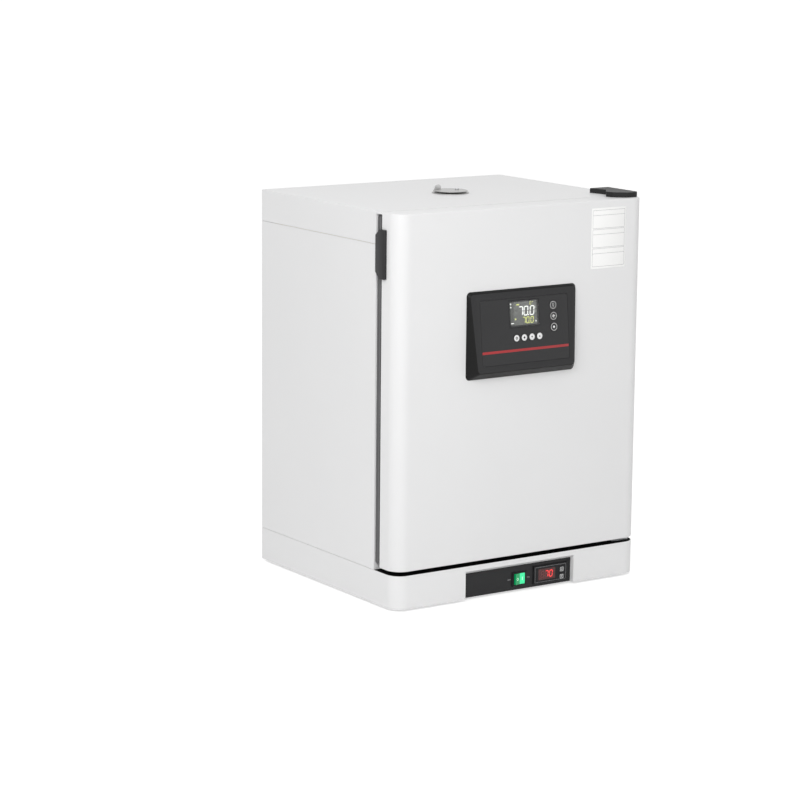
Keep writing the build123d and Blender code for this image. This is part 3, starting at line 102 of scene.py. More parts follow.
class Finish:
    """A material with one Principled shader, and the nodes that feed it."""

    def __init__(self, name, **fixed):
        self.material = bpy.data.materials.new(name)
        self.material.use_nodes = True
        self.tree = self.material.node_tree
        self.shader = self.tree.nodes["Principled BSDF"]
        self.feed(**fixed)

    def put(self, socket, value):
        if isinstance(value, Signal):
            self.tree.links.new(value.socket, socket)
        elif isinstance(value, tuple) and len(value) == 3 and socket.type == "RGBA":
            socket.default_value = (*value, 1)
        else:
            socket.default_value = value

    def node(self, kind, settings=None, inputs=None, output=0):
        """New node, and the signal of one of its outputs."""
        made = self.tree.nodes.new("ShaderNode" + kind)
        for key, value in (settings or {}).items():
            setattr(made, key, value)
        for key, value in (inputs or {}).items():
            self.put(made.inputs[key], value)
        return Signal(self, made.outputs[output])

    def feed(self, **values):
        """Values or signals for the shader, such as base_color or roughness."""
        for key, value in values.items():
            self.put(self.shader.inputs[key.replace("_", " ").title().replace("Ior", "IOR")], value)
        return self

    def place(self, stretch=(1, 1, 1), centre=(0, 0, 0)):
        """Object coordinates in metres, moved to a centre and stretched."""
        here = self.node("TexCoord", output="Object")
        moved = self.node("VectorMath", {"operation": "SUBTRACT"}, {0: here, 1: centre})
        return self.node("VectorMath", {"operation": "MULTIPLY"}, {0: moved, 1: stretch})

    def noise(self, scale, detail, stretch=(1, 1, 1)):
        """Noise with `scale` features to the metre."""
        given = {"Vector": self.place(stretch), "Scale": scale, "Detail": detail}
        return self.node("TexNoise", None, given)

    def mix(self, factor, first, second):
        """Colour between two colours."""
        return self.node("Mix", {"data_type": "RGBA"}, {0: factor, 6: first, 7: second}, output=2)

    def bump(self, height, distance, strength):
        """Relief of at most `distance` metres; gives the finished material."""
        given = {"Height": height, "Distance": distance, "Strength": strength}
        return self.feed(normal=self.node("Bump", None, given)).material


def shade(tone, by):
    return tuple(by * c for c in tone)


# %% [markdown]
# Powder coat isn't smooth. The powder melts into a skin with a fine "orange peel", about a millimetre across
# and a few hundredths high, and its gloss changes a little from place to place. A flat white would look like
# paper, so noise gives the peel as relief, and a slower noise moves the tone and the gloss by a few percent.

# %% White powder coat
WHITE = (0.805, 0.805, 0.807)
coat = Finish("white powder coat", ior=1.5)
slow, speck = coat.noise(5, 3), coat.noise(2600, 1)
coat.feed(
    base_color=coat.mix(slow * 0.7 + speck * 0.3, shade(WHITE, 0.975), shade(WHITE, 1.02)),
    roughness=0.36 + 0.14 * slow,
)
white_paint = coat.bump(coat.noise(850, 2) + 0.35 * speck, 0.00004, 0.35)
print("white paint nodes", len(white_paint.node_tree.nodes))

# %% [markdown]
# Brushed stainless steel is steel scratched in one direction. Noise that is stretched along the grain gives
# the scratches, in the roughness and as very shallow relief. The vent disc was turned on a lathe instead, so
# its scratches are circles: there the noise reads the distance from the disc's centre.


# %% Metals
def brushed(name, grain, tone=0.62, gloss=0.27):
    steel = Finish(name, metallic=1.0)
    scratch, stain = steel.noise(1, 3, grain), steel.noise(9, 2)
    steel.feed(
        base_color=steel.mix(scratch, (tone * 0.9,) * 3, (tone * 1.08, tone * 1.08, tone * 1.07)),
        roughness=gloss - 0.08 + 0.2 * scratch + 0.06 * stain,
    )
    return steel.bump(scratch, 0.00002, 0.3)


def turned(name, centre):
    steel = Finish(name, metallic=1.0)
    flat = steel.place((1, 1, 0), centre)
    radius = steel.node("VectorMath", {"operation": "LENGTH"}, {0: flat}, output="Value")
    given = {"W": radius, "Scale": 2300, "Detail": 2}
    rings = steel.node("TexNoise", {"noise_dimensions": "1D"}, given)
    steel.feed(base_color=steel.mix(rings, (0.3, 0.3, 0.295), (0.5, 0.5, 0.49)), roughness=0.2 + 0.25 * rings)
    return steel.bump(rings, 0.00003, 0.4)


def plated(name, tone):
    zinc = Finish(name, metallic=1.0)
    given = {"Vector": zinc.place(), "Scale": 420}
    spangle = zinc.node("TexVoronoi", None, given, output="Color")
    grey = zinc.node("SeparateColor", None, {0: spangle})
    zinc.feed(base_color=zinc.mix(grey, shade(tone, 0.86), shade(tone, 1.1)), roughness=0.28 + 0.2 * grey)
    return zinc.bump(zinc.noise(500, 3), 0.00002, 0.3)


VENT = (0.0, 14.8)  # the vent's axis, in millimetres
stainless_upright = brushed("stainless, upright grain", (1400, 1400, 5))
stainless_level = brushed("stainless, level grain", (5, 5, 1500))
stainless_turned = turned("stainless, turned", (VENT[0] * MM, VENT[1] * MM, 0.0))
zinc_plate = plated("zinc plated steel", (0.56, 0.57, 0.58))
bright_wire = plated("electropolished wire", (0.74, 0.74, 0.75))
blackened = plated("dark laminated iron", (0.2, 0.2, 0.21))
heater_steel = brushed("heater sheath", (90, 90, 90), 0.3, 0.42)

# %% [markdown]
# Moulded plastic takes the texture of its mould: a fine spark-eroded grain. It is the same recipe each time,
# so one function takes the colour, the gloss and how coarse and deep the grain is. Rubber and silicone are
# softer and duller, and hold some dust, which is a second, slower noise that lightens them.


# %% Plastics, rubber and film
def moulded(name, tone, gloss, coarse=1500, depth=0.00003, dust=0.12, **more):
    plastic = Finish(name, **more)
    grain, patch = plastic.noise(coarse, 2), plastic.noise(14, 3)
    lighter = tuple(min(1.0, c * (1 + dust) + 0.004 * dust) for c in tone)
    plastic.feed(
        base_color=plastic.mix(patch, tone, lighter),
        roughness=gloss - 0.05 + 0.1 * patch + 0.06 * grain,
    )
    return plastic.bump(grain, depth, 0.5)


DULL = {"specular_ior_level": 0.22}
black_plastic = moulded("black moulded plastic", (0.02, 0.02, 0.021), 0.5, **DULL)
cover_plastic = moulded("hinge cover plastic", (0.016, 0.016, 0.016), 0.45, 1100, 0.00005, **DULL)
handle_plastic = moulded("handle plastic", (0.024, 0.024, 0.025), 0.5, 1200, 0.00006, **DULL)
overlay_film = moulded("control overlay film", (0.031, 0.031, 0.032), 0.4, 3000, 0.000008, **DULL)
key_plastic = moulded("key plastic", (0.02, 0.02, 0.021), 0.4, 2500, 0.00001, **DULL)
plate_paint = moulded("control plate paint", (0.017, 0.017, 0.018), 0.45, 1600, 0.00003, **DULL)
# The deck is seen only through the gap under the door. Its near-black, unreflecting colour is painted shade
# for that gap.
deck_gap_shade_black = moulded("deck black as painted gap shade", (0.003, 0.003, 0.003), 0.7, 1600, 0.00003, specular_ior_level=0.05)
bezel_plastic = moulded("bezel plastic", (0.006, 0.006, 0.007), 0.4, 2200, 0.00002, **DULL)
white_print = moulded("white print", (0.78, 0.78, 0.78), 0.45, 3000, 0.000005, 0.03)
grey_print = moulded("grey print", (0.32, 0.32, 0.33), 0.45, 3000, 0.000005, 0.03)
red_print = moulded("red print", (0.36, 0.022, 0.026), 0.4, 3000, 0.000005, 0.05)
label_film = moulded("label film", (0.95, 0.95, 0.94), 0.4, 1800, 0.000006, 0.02)
line_print = moulded("label lines", (0.33, 0.33, 0.34), 0.5, 3000, 0.000005, 0.02)
seal_silicone = moulded("grey silicone", (0.1, 0.1, 0.102), 0.62, 900, 0.00005, 0.35)
gasket_silicone = moulded("dark silicone gasket", (0.05, 0.05, 0.052), 0.6, 900, 0.00005, 0.35)
foot_rubber = moulded("foot rubber", (0.018, 0.018, 0.018), 0.75, 700, 0.00008, 0.5)
button_plastic = moulded("thermostat button plastic", (0.02, 0.02, 0.021), 0.4, 2000, 0.00002)
opal = moulded("opal lamp cover", (0.86, 0.86, 0.83), 0.35, 800, 0.00002, 0.03)
wool = moulded("mineral wool", (0.55, 0.47, 0.27), 0.95, 320, 0.0012, 0.5)
board_green = moulded("circuit board", (0.02, 0.12, 0.055), 0.4, 260, 0.0001, 0.3)
tinted_window = moulded("dark red window", (0.062, 0.006, 0.006), 0.16, 900, 0.000004, 0.1)
display_glass = moulded("display glass", (0.02, 0.021, 0.02), 0.25, 1200, 0.000004, 0.1)


# %% [markdown]
# Three things on this instrument give light: the display, the thermostat's digits and the rocker. A lit part
# is its own colour plus a little emission, low enough that it doesn't light its neighbours or wash out.


# %% Lit parts
def lit(name, tone, glow, strength, gloss=0.4):
    lamp = Finish(name, emission_strength=strength)
    patch = lamp.noise(120, 2)
    lamp.feed(
        base_color=lamp.mix(patch, shade(tone, 0.9), tone),
        emission_color=lamp.mix(patch, shade(glow, 0.88), glow),
        roughness=gloss + 0.06 * patch,
    )
    return lamp.bump(lamp.noise(900, 2), 0.00002, 0.2)


display_field = lit("display field", (0.03, 0.032, 0.03), (0.12, 0.13, 0.118), 0.6)
display_white = lit("display white segments", (0.3, 0.3, 0.3), (0.95, 0.97, 0.93), 1.05)
display_yellow = lit("display yellow segments", (0.2, 0.2, 0.05), (0.72, 0.78, 0.22), 0.95)
display_grey = lit("display grey marks", (0.1, 0.1, 0.1), (0.42, 0.45, 0.42), 0.8)
digit_red = lit("thermostat digits", (0.25, 0.01, 0.01), (1.0, 0.04, 0.04), 1.25)
digit_off = lit("unlit thermostat segments", (0.09, 0.01, 0.01), (0.1, 0.005, 0.005), 0.4)
# The rocker is one lit moulding and its glow is real. But its far half is painted darker and its near half
# brighter, in colour and in glow: painted shade and painted light on its two slopes.
rocker_far_painted_shade = lit("rocker, far half, painted shade", (0.003, 0.22, 0.07), (0.0, 0.34, 0.11), 0.45, 0.22)
rocker_near_painted_light = lit("rocker, near half, painted light", (0.02, 0.5, 0.2), (0.06, 0.9, 0.4), 0.6, 0.22)
rocker_mark = lit("rocker marks", (0.5, 0.8, 0.6), (0.5, 1.0, 0.7), 0.7)


# %% [markdown]
# Glass is clear, but its edges are green and it carries faint smears. The smears go into the roughness. The
# display's window is a thin clear plastic plate that hardly tints what is behind it.


# %% Glass
def clear(name, tint, smear):
    pane = Finish(name, base_color=tint, transmission_weight=1.0, ior=1.47)
    return pane.feed(roughness=0.01 + smear * pane.noise(11, 3)).material


door_glass = clear("float glass", (0.95, 0.985, 0.97), 0.04)
window_plastic = clear("display window plastic", (0.97, 0.97, 0.97), 0.03)

# %% [markdown]
# The CAD nodes that keep their shape get their finishes from one table. Only the finish changes: their
# meshes stay as the CAD made them, and their bodies move them.

# %% Finishes for the CAD nodes
FINISHES = {
    white_paint: "base_skirt left_side_panel right_side_panel top_cover back_panel",
    stainless_level: "inner_chamber door_inner_liner",
    stainless_upright: "front_frame rear_baffle shelf_racks sensor_probes fan_impeller",
    heater_steel: "heater_element",
    zinc_plate: "upper_hinge_bracket lower_hinge_plate hinge_pins glass_hinge_brackets",
    black_plastic: "control_box hinge_bearings power_inlet wiring_loom",
    cover_plastic: "hinge_cover",
    bezel_plastic: "switch_body thermostat_body",
    # the deck's black is painted shade in the gap under the door
    deck_gap_shade_black: "base_deck",
    plate_paint: "control_plate",
    board_green: "control_board power_board",
    blackened: "fan_motor transformer",
    wool: "chamber_insulation door_insulation",
    display_glass: "display_module",
    tinted_window: "thermostat_window",
}
for finish, names in FINISHES.items():
    for name in names.split():
        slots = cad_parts[name].data.materials
        slots.clear()
        slots.append(finish)
print("dressed", sum(len(names.split()) for names in FINISHES.values()), "nodes")

# %% [markdown]
# Most pieces take their place and size from the CAD node that they stand for, so two functions read a node's
# box in millimetres. Outlines are lists of points: round-cornered rectangles, circles and polygons.


# %% Boxes and outlines
def extent(node):
    """Lowest and highest corner of a node."""
    low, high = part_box(node)
    return low / MM, high / MM


def face_of(node):
    """Centre and size of a node, seen from the front."""
    low, high = extent(node)
    return ((low.x + high.x) / 2, (low.z + high.z) / 2), (high.x - low.x, high.z - low.z)


def sweep(steps):
    """Angles of a quarter turn in equal steps."""
    return [radians(90 * i / steps) for i in range(steps + 1)]


CORNERS = ((1, 1), (-1, 1), (-1, -1), (1, -1))


def rounded(centre, size, radius, steps=8):
    """Corner points of a round-cornered rectangle, anticlockwise."""
    points = []
    for turn, (sx, sy) in enumerate(CORNERS):
        x = centre[0] + sx * (size[0] / 2 - radius)
        y = centre[1] + sy * (size[1] / 2 - radius)
        for angle in (a + turn * pi / 2 for a in sweep(steps)):
            points.append((x + radius * cos(angle), y + radius * sin(angle)))
    return points


def circle(centre, radius, steps=48):
    turns = (2 * pi * i / steps for i in range(steps))
    return [(centre[0] + radius * cos(a), centre[1] + radius * sin(a)) for a in turns]


def turned_points(points, degrees, centre):
    c, s = cos(radians(degrees)), sin(radians(degrees))
    return [(centre[0] + x * c - y * s, centre[1] + x * s + y * c) for x, y in points]


# %% [markdown]
# Most pieces of a sheet-metal instrument are plates: an outline with holes, a thickness and slightly rounded
# edges. A filled 2D curve is the simplest way to make one, because Blender fills its holes and rounds its
# edges by itself. It becomes a mesh lying flat, and a matrix then lays it on its plane.


# %% Plates
def lies_on(origin, across, along):
    """Matrix that lays flat work on a plane."""
    x, y = Vector(across).normalized(), Vector(along).normalized()
    turn = Matrix((x, y, x.cross(y))).transposed().to_4x4()
    return Matrix.Translation(Vector(origin) * MM) @ turn


def front(y, x=0, z=0):
    return lies_on((x, y, z), (1, 0, 0), (0, 0, 1))


def level_at(z, x=0, y=0):
    return lies_on((x, y, z), (1, 0, 0), (0, 1, 0))


def welded(mesh, closeness=0.002):
    """Merges double points and turns the faces outwards."""
    work = bmesh.new()
    work.from_mesh(mesh)
    bmesh.ops.remove_doubles(work, verts=work.verts, dist=closeness * MM)
    bmesh.ops.recalc_face_normals(work, faces=work.faces)
    work.to_mesh(mesh)
    work.free()
    return mesh


def as_mesh(thing):
    """Plain mesh of a curve, a text or an object with modifiers; the object goes."""
    if thing.name not in scene.collection.objects:
        scene.collection.objects.link(thing)
    shapes = bpy.context.evaluated_depsgraph_get()
    mesh = bpy.data.meshes.new_from_object(thing.evaluated_get(shapes))
    bpy.data.objects.remove(thing)
    return mesh


def plate(outline, thickness, edge, holes, where, sink=0.0, turns=2):
    """Plate whose upper face is at 0 (or `sink` below it), with rounded edges."""
    flat = bpy.data.curves.new("plate", "CURVE")
    flat.dimensions, flat.fill_mode = "2D", "BOTH"
    flat.extrude = (thickness / 2 - edge) * MM
    flat.bevel_depth, flat.offset = edge * MM, -edge * MM
    flat.bevel_resolution = turns
    for ring in (outline, *holes):
        spline = flat.splines.new("POLY")
        spline.points.add(len(ring) - 1)
        for point, (x, y) in zip(spline.points, ring):
            point.co = (x * MM, y * MM, 0, 1)
        spline.use_cyclic_u = True
    mesh = as_mesh(bpy.data.objects.new("plate", flat))
    mesh.transform(Matrix.Translation((0, 0, -(thickness / 2 + sink) * MM)))
    mesh.transform(where)
    return welded(mesh)


INK = 0.06


def ink(outline, where, holes=(), thick=INK, lift=0.0, edge=0.01):
    """Thin raised print on a plane, or `lift` above it."""
    return plate(outline, thick, edge, holes, where, -thick - lift, 1)


# %% [markdown]
# A piece is made of meshes with their finishes. It rides on a body, so that a pose moves it, and it names the
# CAD nodes whose place it takes.


# %% Pieces
def joined(meshes):
    work = bmesh.new()
    for mesh in meshes:
        work.from_mesh(mesh)
    whole = bpy.data.meshes.new("joined")
    work.to_mesh(whole)
    work.free()
    return whole


def piece(name, body, parts, replaces=(), sharp=35):
    """Joins meshes, or lists of them, each with its finish, into one piece that rides on a body."""
    whole = bpy.data.meshes.new(name)
    finishes = list(dict.fromkeys(finish for _, finish in parts))
    for finish in finishes:
        whole.materials.append(finish)
    work = bmesh.new()
    for meshes, finish in parts:
        start = len(work.faces)
        work.from_mesh(joined(meshes) if isinstance(meshes, list) else meshes)
        work.faces.ensure_lookup_table()
        for face in work.faces[start:]:
            face.material_index = finishes.index(finish)
            face.smooth = True
    work.to_mesh(whole)
    work.free()
    whole.set_sharp_from_angle(angle=radians(sharp))
    made = bpy.data.objects.new(name, whole)
    scene.collection.objects.link(made)
    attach(made, body)
    if replaces:
        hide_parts(*replaces)
    print(name, len(whole.polygons), "faces")


# %% [markdown]
# Everything that isn't a plate is a skin stretched over rows of points. A turned piece is the case where each
# row is a circle: feet, knobs, lamps, vents and screw heads. Where its profile starts or ends on the axis, the
# circle has no size and welding makes one point of it. Solidify turns an open skin into sheet metal.


# %% Skins
def skinned(rows, around=True, over=True, caps=False):
    """Skin over rows of points: `around` closes each row, `over` joins the last row to the first."""
    work = bmesh.new()
    made = [[work.verts.new(Vector(p) * MM) for p in row] for row in rows]
    for low, high in zip(made, made[1:] + (made[:1] if over else [])):
        for i in range(len(low) if around else len(low) - 1):
            j = (i + 1) % len(low)
            work.faces.new((low[i], low[j], high[j], high[i]))
    if caps:
        work.faces.new(made[0][::-1])
        work.faces.new(made[-1])
    mesh = bpy.data.meshes.new("skin")
    work.to_mesh(mesh)
    work.free()
    return mesh


def turned_piece(profile, where, steps=64):
    """Revolves (radius, height) points, from the axis or closed on itself, round the plane's normal."""
    rows = [[(x, y, height) for x, y in circle((0, 0), radius, steps)] for radius, height in profile]
    mesh = skinned(rows, over=profile[0][0] > 0 and profile[-1][0] > 0)
    mesh.transform(where)
    return welded(mesh)


def thickened(mesh, thickness):
    thing = bpy.data.objects.new("sheet", mesh)
    solid = thing.modifiers.new("sheet", "SOLIDIFY")
    solid.thickness, solid.offset = thickness * MM, -1
    return as_mesh(thing)


def rounding(radius):
    """(inset, depth) points of a quarter round, from the side to the face."""
    return [(radius * (1 - cos(a)), radius * sin(a)) for a in sweep(4)]


# %% [markdown]
# Geometry Nodes set out what repeats. One tree serves every row and grid here: a line of points, a second
# line on each of them, and the prototype on every point. Realize Instances makes the copies real, because an
# export drops instances, and Set Material gives the finish.


# %% A grid of copies
def grid_tree():
    tree = bpy.data.node_groups.new("grid of copies", "GeometryNodeTree")
    keys = {}
    for label, kind in (
        ("Prototype", "Object"), ("Columns", "Int"), ("Column Step", "Vector"), ("Rows", "Int"),
        ("Row Step", "Vector"), ("Start", "Vector"), ("Finish", "Material"),
    ):
        socket = tree.interface.new_socket(label, in_out="INPUT", socket_type="NodeSocket" + kind)
        keys[label] = socket.identifier
    tree.interface.new_socket("Geometry", in_out="OUTPUT", socket_type="NodeSocketGeometry")
    add = tree.nodes.new
    given, out = add("NodeGroupInput").outputs, add("NodeGroupOutput")
    columns, rows = add("GeometryNodeMeshLine"), add("GeometryNodeMeshLine")
    spread, copies = add("GeometryNodeInstanceOnPoints"), add("GeometryNodeInstanceOnPoints")
    thing, points = add("GeometryNodeObjectInfo"), add("GeometryNodeRealizeInstances")
    real, paint = add("GeometryNodeRealizeInstances"), add("GeometryNodeSetMaterial")
    for a, b in (
        (given["Columns"], columns.inputs["Count"]),
        (given["Column Step"], columns.inputs["Offset"]),
        (given["Rows"], rows.inputs["Count"]),
        (given["Row Step"], rows.inputs["Offset"]),
        (given["Start"], rows.inputs["Start Location"]),
        (rows.outputs[0], spread.inputs["Points"]),
        (columns.outputs[0], spread.inputs["Instance"]),
        (spread.outputs[0], points.inputs[0]),
        (points.outputs[0], copies.inputs["Points"]),
        (given["Prototype"], thing.inputs["Object"]),
        (thing.outputs["Geometry"], copies.inputs["Instance"]),
        (copies.outputs[0], real.inputs[0]),
        (real.outputs[0], paint.inputs["Geometry"]),
        (given["Finish"], paint.inputs["Material"]),
        (paint.outputs[0], out.inputs[0]),
    ):
        tree.links.new(a, b)
    return tree, keys


GRID, INPUTS = grid_tree()


def copies_of(prototype, finish, start, columns, column_step, rows=1, row_step=(0, 0, 0)):
    """Mesh of a prototype mesh repeated in a grid."""
    original = bpy.data.objects.new("prototype", prototype)
    holder = bpy.data.objects.new("holder", bpy.data.meshes.new("holder"))
    for thing in (original, holder):
        scene.collection.objects.link(thing)
    modifier = holder.modifiers.new("grid", "NODES")
    modifier.node_group = GRID
    places = {"Column Step": column_step, "Row Step": row_step, "Start": start}
    given = {label: [v * MM for v in place] for label, place in places.items()}
    given.update({"Prototype": original, "Columns": columns, "Rows": rows, "Finish": finish})
    for label, value in given.items():
        modifier[INPUTS[label]] = value
    mesh = as_mesh(holder)
    bpy.data.objects.remove(original)
    return mesh


# %% [markdown]
# The door's outer skin is a deep tray of folded sheet: big round corners on its two front edges, small ones
# round its top and bottom. It is drawn as one path round the plan, repeated at several heights, and Solidify
# gives it the sheet's thickness. A bevelled box would pinch where the large and small radii meet.

# %% Door skin
skin_low, skin_high = extent("door_outer_skin")
DOOR_FRONT, DOOR_REAR = skin_low.y, skin_high.y
CORNER, SHEET, ROLLED = 28.0, 1.5, 2.0


def tray_path(inset):
    """Plan from the left rear, round the front, to the right rear."""
    half, nose, radius = skin_high.x - inset, DOOR_FRONT + inset, CORNER - inset
    path = [(-half, DOOR_REAR)]
    path += [(-half + radius * (1 - cos(a)), nose + radius * (1 - sin(a))) for a in sweep(16)]
    return path + [(-x, y) for x, y in reversed(path)]


levels = [(i, skin_low.z + ROLLED - d) for i, d in reversed(rounding(ROLLED))]
levels += [(i, skin_high.z - ROLLED + d) for i, d in rounding(ROLLED)]
rows = [[(x, y, z) for x, y in tray_path(inset)] for inset, z in levels]
tray = thickened(skinned(rows, around=False, over=False, caps=True), SHEET)
piece("door_skin", "door", [(tray, white_paint)], ["door_outer_skin"], sharp=50)

# %% [markdown]
# The base has a folded strip behind its low front ledge, which closes the corner between the base and the
# deck. It follows the same plan as the door, a little further in, so the same path draws it.

# %% Strip behind the base's ledge
LEDGE_TOP, LEDGE_FOOT, STRIP_END = 66.4, 61.6, DOOR_FRONT + 27
outer, inner = ([(x, y) for x, y in tray_path(inset) if y < STRIP_END] for inset in (1.25, 1.45))
strip = plate(outer + inner[::-1], LEDGE_TOP - LEDGE_FOOT, 0.04, (), level_at(LEDGE_TOP))
piece("ledge_strip", "cabinet", [(strip, white_paint)])

# %% [markdown]
# Two soft rings meet when the door shuts: a wide grey seal on the cabinet, with a groove round its outside
# that shows in the gap, and a gasket on the door. Each is a moulded profile that runs round the mouth, so a
# round-cornered rectangle is repeated at each point of the profile and the rings are skinned.


# %% Seals
def moulded_ring(node, profile, radius):
    """Ring round a node's box; profile points are (inset, depth from its rear)."""
    centre, size = face_of(node)
    rear_face = extent(node)[1].y
    rows = []
    for inset, depth in profile:
        ring = rounded(centre, [s - 2 * inset for s in size], max(radius - inset, 0.6), 6)
        rows.append([(x, rear_face - depth, z) for x, z in ring])
    return welded(skinned(rows))


seal_profile = [(0.4, 0), (0, 0.4), (0, 4.5), (1.6, 4.9), (1.6, 6.1), (0, 6.5), (0, 10.2), (0.8, 11)]
for x in (9, 14, 19):
    seal_profile += [(x, 11), (x + 1.2, 9.6), (x + 2.8, 9.6), (x + 4, 11)]
seal_profile += [(31.2, 11), (32, 10.2), (32, 0.4), (31.6, 0)]
gasket_profile = [(0.3, 0), (0, 0.3), (0, 5.2), (0.9, 7), (2.6, 7.7), (4.6, 7.4), (6, 6.2), (7.4, 6.2)]
gasket_profile += [(8.8, 7.4), (11, 7.7), (13.2, 7), (14, 5.2), (14, 0.3), (13.7, 0)]
seal = moulded_ring("cabinet_seal", seal_profile, 4)
gasket = moulded_ring("door_gasket", gasket_profile, 10)
piece("mouth_seal", "cabinet", [(seal, seal_silicone)], ["cabinet_seal"])
piece("door_seal", "door", [(gasket, gasket_silicone)], ["door_gasket"])

# %% [markdown]
# The control housing is a wedge: its face leans back, so that a standing user sees the display, and its sides
# are drafted so that it leaves its mould. Every ring of the skin is a round-cornered rectangle. The outer
# edge of the face is rounded by a short curve between the side and the face.

# %% Slope of the control housing
panel_middle, panel_size = face_of("panel_housing")
panel_low, panel_high = extent("panel_housing")
DRAFT, PROUD_LOW, PROUD_HIGH, ROUND = 0.65, 20.5, 5.5, 2.6
ACROSS = Vector((1, 0, 0))
foot = Vector((panel_middle[0], DOOR_FRONT - PROUD_LOW, panel_low.z + DRAFT * PROUD_LOW))
brow = Vector((panel_middle[0], DOOR_FRONT - PROUD_HIGH, panel_high.z - DRAFT * PROUD_HIGH))
SLOPE = (brow - foot).normalized()
OUTWARD = ACROSS.cross(SLOPE)


def on_face(depth=0.0):
    """Plane of the sloping face, `depth` behind it: x across, y up the slope."""
    return lies_on(foot - OUTWARD * depth, ACROSS, SLOPE)


def housing_rings(inset, sink):
    """Rings at the door and at the face, `inset` inside the outside, and each point's way in over the face."""
    steps = 8
    base = rounded(panel_middle, [s - 2 * inset for s in panel_size], 8 - inset * 0.8, steps)
    lean = (PROUD_LOW - PROUD_HIGH) / (brow.z - foot.z)
    ground, edge, inward = [], [], []
    for i, (x, z) in enumerate(base):
        quarter, step = divmod(i, steps + 1)
        angle = radians(90 * (quarter + step / steps))
        sx, sz = CORNERS[quarter]
        depth = (PROUD_LOW - sink - lean * (z - foot.z)) / (1 - lean * DRAFT * sz)
        ground.append(Vector((x, DOOR_FRONT, z)))
        edge.append(Vector((x - DRAFT * depth * sx, DOOR_FRONT - depth, z - DRAFT * depth * sz)))
        inward.append(-(ACROSS * cos(angle) + SLOPE * sin(angle)))
    return ground, edge, inward


# %% Control housing
ground, edge, inward = housing_rings(0, 0)
rim = []
for t in (i / 5 for i in range(6)):
    rim.append([
        (1 - t) ** 2 * (e + (g - e).normalized() * ROUND) + 2 * t * (1 - t) * e + t * t * (e + n * ROUND)
        for g, e, n in zip(ground, edge, inward)
    ])
inner_ground, inner_edge, _ = housing_rings(2.5, 3.0)
OVERLAY, DISPLAY = ((0, 72), (195, 118)), ((-0.9, 102.5), (65.5, 47.5))


def face_ring(depth, grow):
    points = rounded(OVERLAY[0], [s + 2 * grow for s in OVERLAY[1]], 4 + grow)
    return [foot + ACROSS * x + SLOPE * y - OUTWARD * depth for x, y in points]


shell = [face_ring(3.0, 0.3), inner_edge, inner_ground, ground, *rim]
shell += [face_ring(0, 0.75), face_ring(0.12, 0.42), face_ring(0.45, 0.3)]
# The housing is one plastic, but its drafted sides get a much darker colour than its sloping face. This is
# painted shade on the sides, chosen by which way each point faces.
housing = Finish("control housing plastic, painted side shade", **DULL)
grain = housing.noise(1300, 2)
given = {0: housing.node("TexCoord", output="Normal"), 1: tuple(OUTWARD)}
side_shade_mask = housing.node("VectorMath", {"operation": "DOT_PRODUCT"}, given, output="Value")
housing.feed(
    base_color=housing.mix(side_shade_mask.above(0.95), (0.0015, 0.0015, 0.0015), (0.028, 0.028, 0.029)),
    roughness=0.42 + 0.06 * grain,
)
housing_plastic = housing.bump(grain, 0.00004, 0.5)
ROW_KEYS, COLUMN_KEYS = ("key_set", "key_shift", "key_down", "key_up"), ("key_lamp", "key_fan", "key_run")
ROW_MIDDLE, ROW_Y, ROW_PITCH, ROW_KEY = 5.5, 58.5, 17.2, 13.0
COLUMN_X, COLUMN_TOP, COLUMN_PITCH, COLUMN_KEY = 64.5, 112.5, 20, 15.5
KEYS = {name: (ROW_MIDDLE + (i - 1.5) * ROW_PITCH, ROW_Y, ROW_KEY) for i, name in enumerate(ROW_KEYS)}
for i, name in enumerate(COLUMN_KEYS):
    KEYS[name] = (COLUMN_X, COLUMN_TOP - COLUMN_PITCH * i, COLUMN_KEY)
key_holes = [circle((x, y), d / 2 + 0.3) for x, y, d in KEYS.values()]
floor_holes = [rounded(DISPLAY[0], (60.5, 42.5), 1.0), *key_holes]
shelf = plate(rounded(*OVERLAY, 4), 2.0, 0.1, floor_holes, on_face(1.0))
housing_parts = [(welded(skinned(shell)), housing_plastic), (shelf, housing_plastic)]
piece("control_housing", "door", housing_parts, ["panel_housing"])

# %% [markdown]
# The overlay is a thin printed sheet let into the face. Its prints are real, very thin raised layers, as silk
# screen ink is: the red line, the keys' rings and symbols, and a fine border.

# %% Overlay and its prints
window_hole = rounded(DISPLAY[0], [s + 0.1 for s in DISPLAY[1]], 0.6, 3)
overlay = plate(rounded(*OVERLAY, 4), 1.0, 0.22, [window_hole, *key_holes], on_face())
red_line = ink(rounded((-0.2, 36.6), (193.4, 4.6), 0.5, 2), on_face(), edge=0.015)
border_hole = rounded(DISPLAY[0], (66.6, 48.6), 0.8, 4)
border = ink(rounded(DISPLAY[0], (67.9, 49.9), 1.4, 4), on_face(), [border_hole], edge=0.015)
overlay_parts = [(overlay, overlay_film), (red_line, red_print), (border, bezel_plastic)]
piece("control_overlay", "door", overlay_parts, ["panel_overlay"])
window = plate(rounded(*DISPLAY, 0.6, 3), 1.0, 0.15, (), on_face())
piece("display_cover", "door", [(window, window_plastic)], ["display_window"])

# %% [markdown]
# The display shows a measured and a set temperature in seven-segment digits. Each digit is built from its
# segments, so that any number can be shown, and the unlit segments can be drawn too, faintly, as on a real
# display. The digits lean a little to the right.

# %% Seven-segment digits
SEGMENTS = {
    "0": "abcdef", "1": "bc", "2": "abged", "3": "abgcd", "4": "fgbc",
    "5": "afgcd", "6": "afgedc", "7": "abc", "8": "abcdefg", "9": "abcdfg", " ": "",
}
LEAN = 0.1


